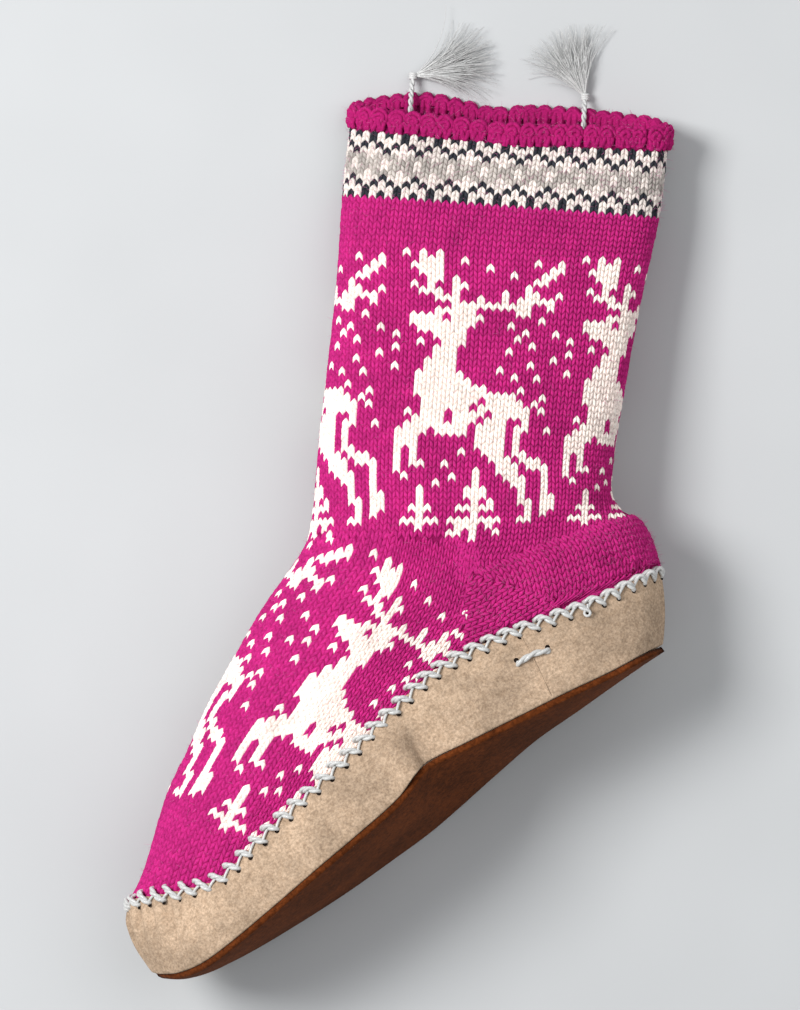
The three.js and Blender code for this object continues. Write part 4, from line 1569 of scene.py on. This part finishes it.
def make_tufts(sizes):
    """What is left of a tie: a frayed end at the front and at the back of the rim."""
    random = np.random.default_rng(21)
    for name, across, out, fan, reach in TUFTS:
        paths = tuft_knot(across, out)
        radii = [np.full(len(path), KNOT_SWELL) for path in paths]
        for _ in range(sizes.fray_threads):
            paths.append(loose_thread(across, out, fan, reach, random))
            radii.append(np.linspace(1.25, 0.45, len(paths[-1])))
        paths = [placed(path) for path in paths]
        thing = strands_object("frayed_" + name, paths, radii, sizes.fray, 4, shade(frayed_thread))
        finished(thing, shade(frayed_thread), (name,))


def make_fuzz(sizes):
    """Short loose fibres of the wool that stand out from the knit."""
    random = np.random.default_rng(33)
    least_height = 0.1
    paths = []
    for mesh in [bpy.data.objects[name].data for name in FUZZY]:
        count = len(mesh.polygons)
        centre, normal = np.empty(count * 3), np.empty(count * 3)
        mesh.polygons.foreach_get("center", centre)
        mesh.polygons.foreach_get("normal", normal)
        centre, normal = centre.reshape(-1, 3) * 1000, normal.reshape(-1, 3)
        for n in random.choice(count, min(count, sizes.fibres), replace=False):
            way = unit(normal[n] * 0.7 + random.normal(0, 0.6, 3))
            bend = random.normal(0, 0.5, 3)
            size = random.uniform(0.9, 2.9)
            line = np.array([centre[n] + way * size * t + bend * size * 0.5 * t * t for t in (0, 0.5, 1)])
            line[:, 2] = np.maximum(line[:, 2], least_height)
            paths.append(line / 1000)
    taper = [np.array([1.0, 0.8, 0.3])] * len(paths)
    fuzz = strands_object("wool_fuzz", paths, taper, sizes.fibre, 3, shade(wool_fibre))
    finished(fuzz, shade(wool_fibre))


# The stage

TILT, ROLL = math.radians(3.3), math.radians(36.3)
TARGET, DISTANCE, VIEW_HEIGHT, SENSOR = Vector((0.0064, -0.0147, 0.0215)), 2.2, 0.409, 36
KEY_SIZE, KEY_PLACE = 0.8, (-0.75, 1.05, 1.6)
FILL_SIZE, FILL_PLACE = 1.4, (0.9, -0.2, 1.4)
FLOOR_SIZE, FLOOR_HEIGHT = 6, -0.0003
SKY = (0.95, 0.97, 1, 1)


def make_camera():
    towards = Vector((0, -math.sin(TILT), math.cos(TILT)))
    across = Vector((1, 0, 0))
    up = Vector((0, math.cos(TILT), math.sin(TILT)))
    right = math.cos(ROLL) * across - math.sin(ROLL) * up
    top = math.sin(ROLL) * across + math.cos(ROLL) * up
    data = bpy.data.cameras.new("Camera")
    data.lens = SENSOR * DISTANCE / VIEW_HEIGHT
    data.clip_start, data.clip_end = 0.1, 20
    camera = bpy.data.objects.new("Camera", data)
    turned = Matrix((right, top, towards)).transposed().to_4x4()
    camera.matrix_world = Matrix.Translation(TARGET + towards * DISTANCE) @ turned
    bpy.context.scene.collection.objects.link(camera)
    bpy.context.scene.camera = camera


def make_floor(colour):
    bpy.ops.mesh.primitive_plane_add(size=FLOOR_SIZE, location=(0, 0, FLOOR_HEIGHT))
    floor = bpy.context.object
    floor.name = "floor"
    material, tree, shader = new_material("Floor", colour, 0.8)
    grain = ramp(tree, noise(tree, scale=8, detail=2), 0.3, 0.7, 0.97, 1.02)
    tree.links.new(tinted(tree, colour, grain), shader.inputs["Base Color"])
    floor.data.materials.append(material)


def make_light(name, energy, size, place):
    """An area light that faces the slipper."""
    light = bpy.data.lights.new(name, "AREA")
    light.size = size
    light.energy = energy
    lamp = bpy.data.objects.new(name, light)
    lamp.location = place
    lamp.rotation_euler = (-lamp.location).to_track_quat("-Z", "Y").to_euler()
    bpy.context.scene.collection.objects.link(lamp)


def make_world(strength):
    world = bpy.data.worlds.new("World")
    bpy.context.scene.world = world
    world.use_nodes = True
    background = world.node_tree.nodes["Background"]
    background.inputs["Color"].default_value = SKY
    background.inputs["Strength"].default_value = strength


# The add-on

class SLIPPER_OT_knit(Operator):
    """Knit the band, the shaft, the foot and the heel"""

    bl_idname = "slipper.knit"
    bl_label = "Knit"

    def execute(self, context):
        make_knit(context.scene.slipper_sizes, context.scene.slipper_colours)
        return {"FINISHED"}


class SLIPPER_OT_lining(Operator):
    """Make the smooth fabric behind the stitches, in a dark magenta that paints the shade between them"""

    bl_idname = "slipper.lining"
    bl_label = "Lining"

    def execute(self, context):
        make_lining()
        return {"FINISHED"}


class SLIPPER_OT_rim(Operator):
    """Make the rolled rim of the collar"""

    bl_idname = "slipper.rim"
    bl_label = "Rim"

    def execute(self, context):
        make_rim(context.scene.slipper_sizes)
        return {"FINISHED"}


class SLIPPER_OT_side(Operator):
    """Make the suede round the foot"""

    bl_idname = "slipper.side"
    bl_label = "Side suede"

    def execute(self, context):
        make_side(context.scene.slipper_sizes)
        return {"FINISHED"}


class SLIPPER_OT_soles(Operator):
    """Make the outsole and the insole"""

    bl_idname = "slipper.soles"
    bl_label = "Soles"

    def execute(self, context):
        make_soles()
        return {"FINISHED"}


class SLIPPER_OT_stitching(Operator):
    """Sew the suede on: the cord, the joint and the holes' painted shade"""

    bl_idname = "slipper.stitching"
    bl_label = "Stitching"

    def execute(self, context):
        make_stitching(context.scene.slipper_sizes)
        return {"FINISHED"}


class SLIPPER_OT_tufts(Operator):
    """Make the two frayed tufts at the rim"""

    bl_idname = "slipper.tufts"
    bl_label = "Tufts"

    def execute(self, context):
        make_tufts(context.scene.slipper_sizes)
        return {"FINISHED"}


class SLIPPER_OT_fuzz(Operator):
    """Add loose fibres to the knit and the rim, which have to be there already"""

    bl_idname = "slipper.fuzz"
    bl_label = "Fuzz"

    def execute(self, context):
        make_fuzz(context.scene.slipper_sizes)
        return {"FINISHED"}


class SLIPPER_OT_stage(Operator):
    """Set up the camera, the floor, the lights and the sky"""

    bl_idname = "slipper.stage"
    bl_label = "Stage"

    def execute(self, context):
        stage = context.scene.slipper_stage
        make_camera()
        make_floor(stage.floor)
        make_light("key", stage.key, KEY_SIZE, KEY_PLACE)
        make_light("fill", stage.fill, FILL_SIZE, FILL_PLACE)
        make_world(stage.sky)
        context.scene.view_settings.view_transform = "Standard"
        return {"FINISHED"}


OPERATORS = (SLIPPER_OT_knit, SLIPPER_OT_lining, SLIPPER_OT_rim, SLIPPER_OT_side, SLIPPER_OT_soles,
             SLIPPER_OT_stitching, SLIPPER_OT_tufts, SLIPPER_OT_fuzz, SLIPPER_OT_stage)
GROUPS = {"slipper_sizes": SlipperSizes, "slipper_colours": SlipperColours, "slipper_stage": SlipperStage}


class SLIPPER_PT_sidebar(Panel):
    """The slipper's settings, and a button for each of its parts"""

    bl_idname = "SLIPPER_PT_sidebar"
    bl_label = "Wool slipper"
    bl_space_type = "VIEW_3D"
    bl_region_type = "UI"
    bl_category = "Slipper"

    def draw(self, context):
        for pointer, group in GROUPS.items():
            box = self.layout.box()
            for name in group.__annotations__:
                box.prop(getattr(context.scene, pointer), name)
        for operator in OPERATORS:
            self.layout.operator(operator.bl_idname)


CLASSES = (*GROUPS.values(), *OPERATORS, SLIPPER_PT_sidebar)


def register():
    for kind in CLASSES:
        bpy.utils.register_class(kind)
    for pointer, group in GROUPS.items():
        setattr(bpy.types.Scene, pointer, PointerProperty(type=group))


def unregister():
    for pointer in GROUPS:
        delattr(bpy.types.Scene, pointer)
    for kind in reversed(CLASSES):
        bpy.utils.unregister_class(kind)


def main():
    register()
    bpy.ops.slipper.knit()
    bpy.ops.slipper.lining()
    bpy.ops.slipper.rim()
    bpy.ops.slipper.side()
    bpy.ops.slipper.soles()
    bpy.ops.slipper.stitching()
    bpy.ops.slipper.tufts()
    bpy.ops.slipper.fuzz()
    bpy.ops.slipper.stage()


if __name__ == "__main__":
    main()
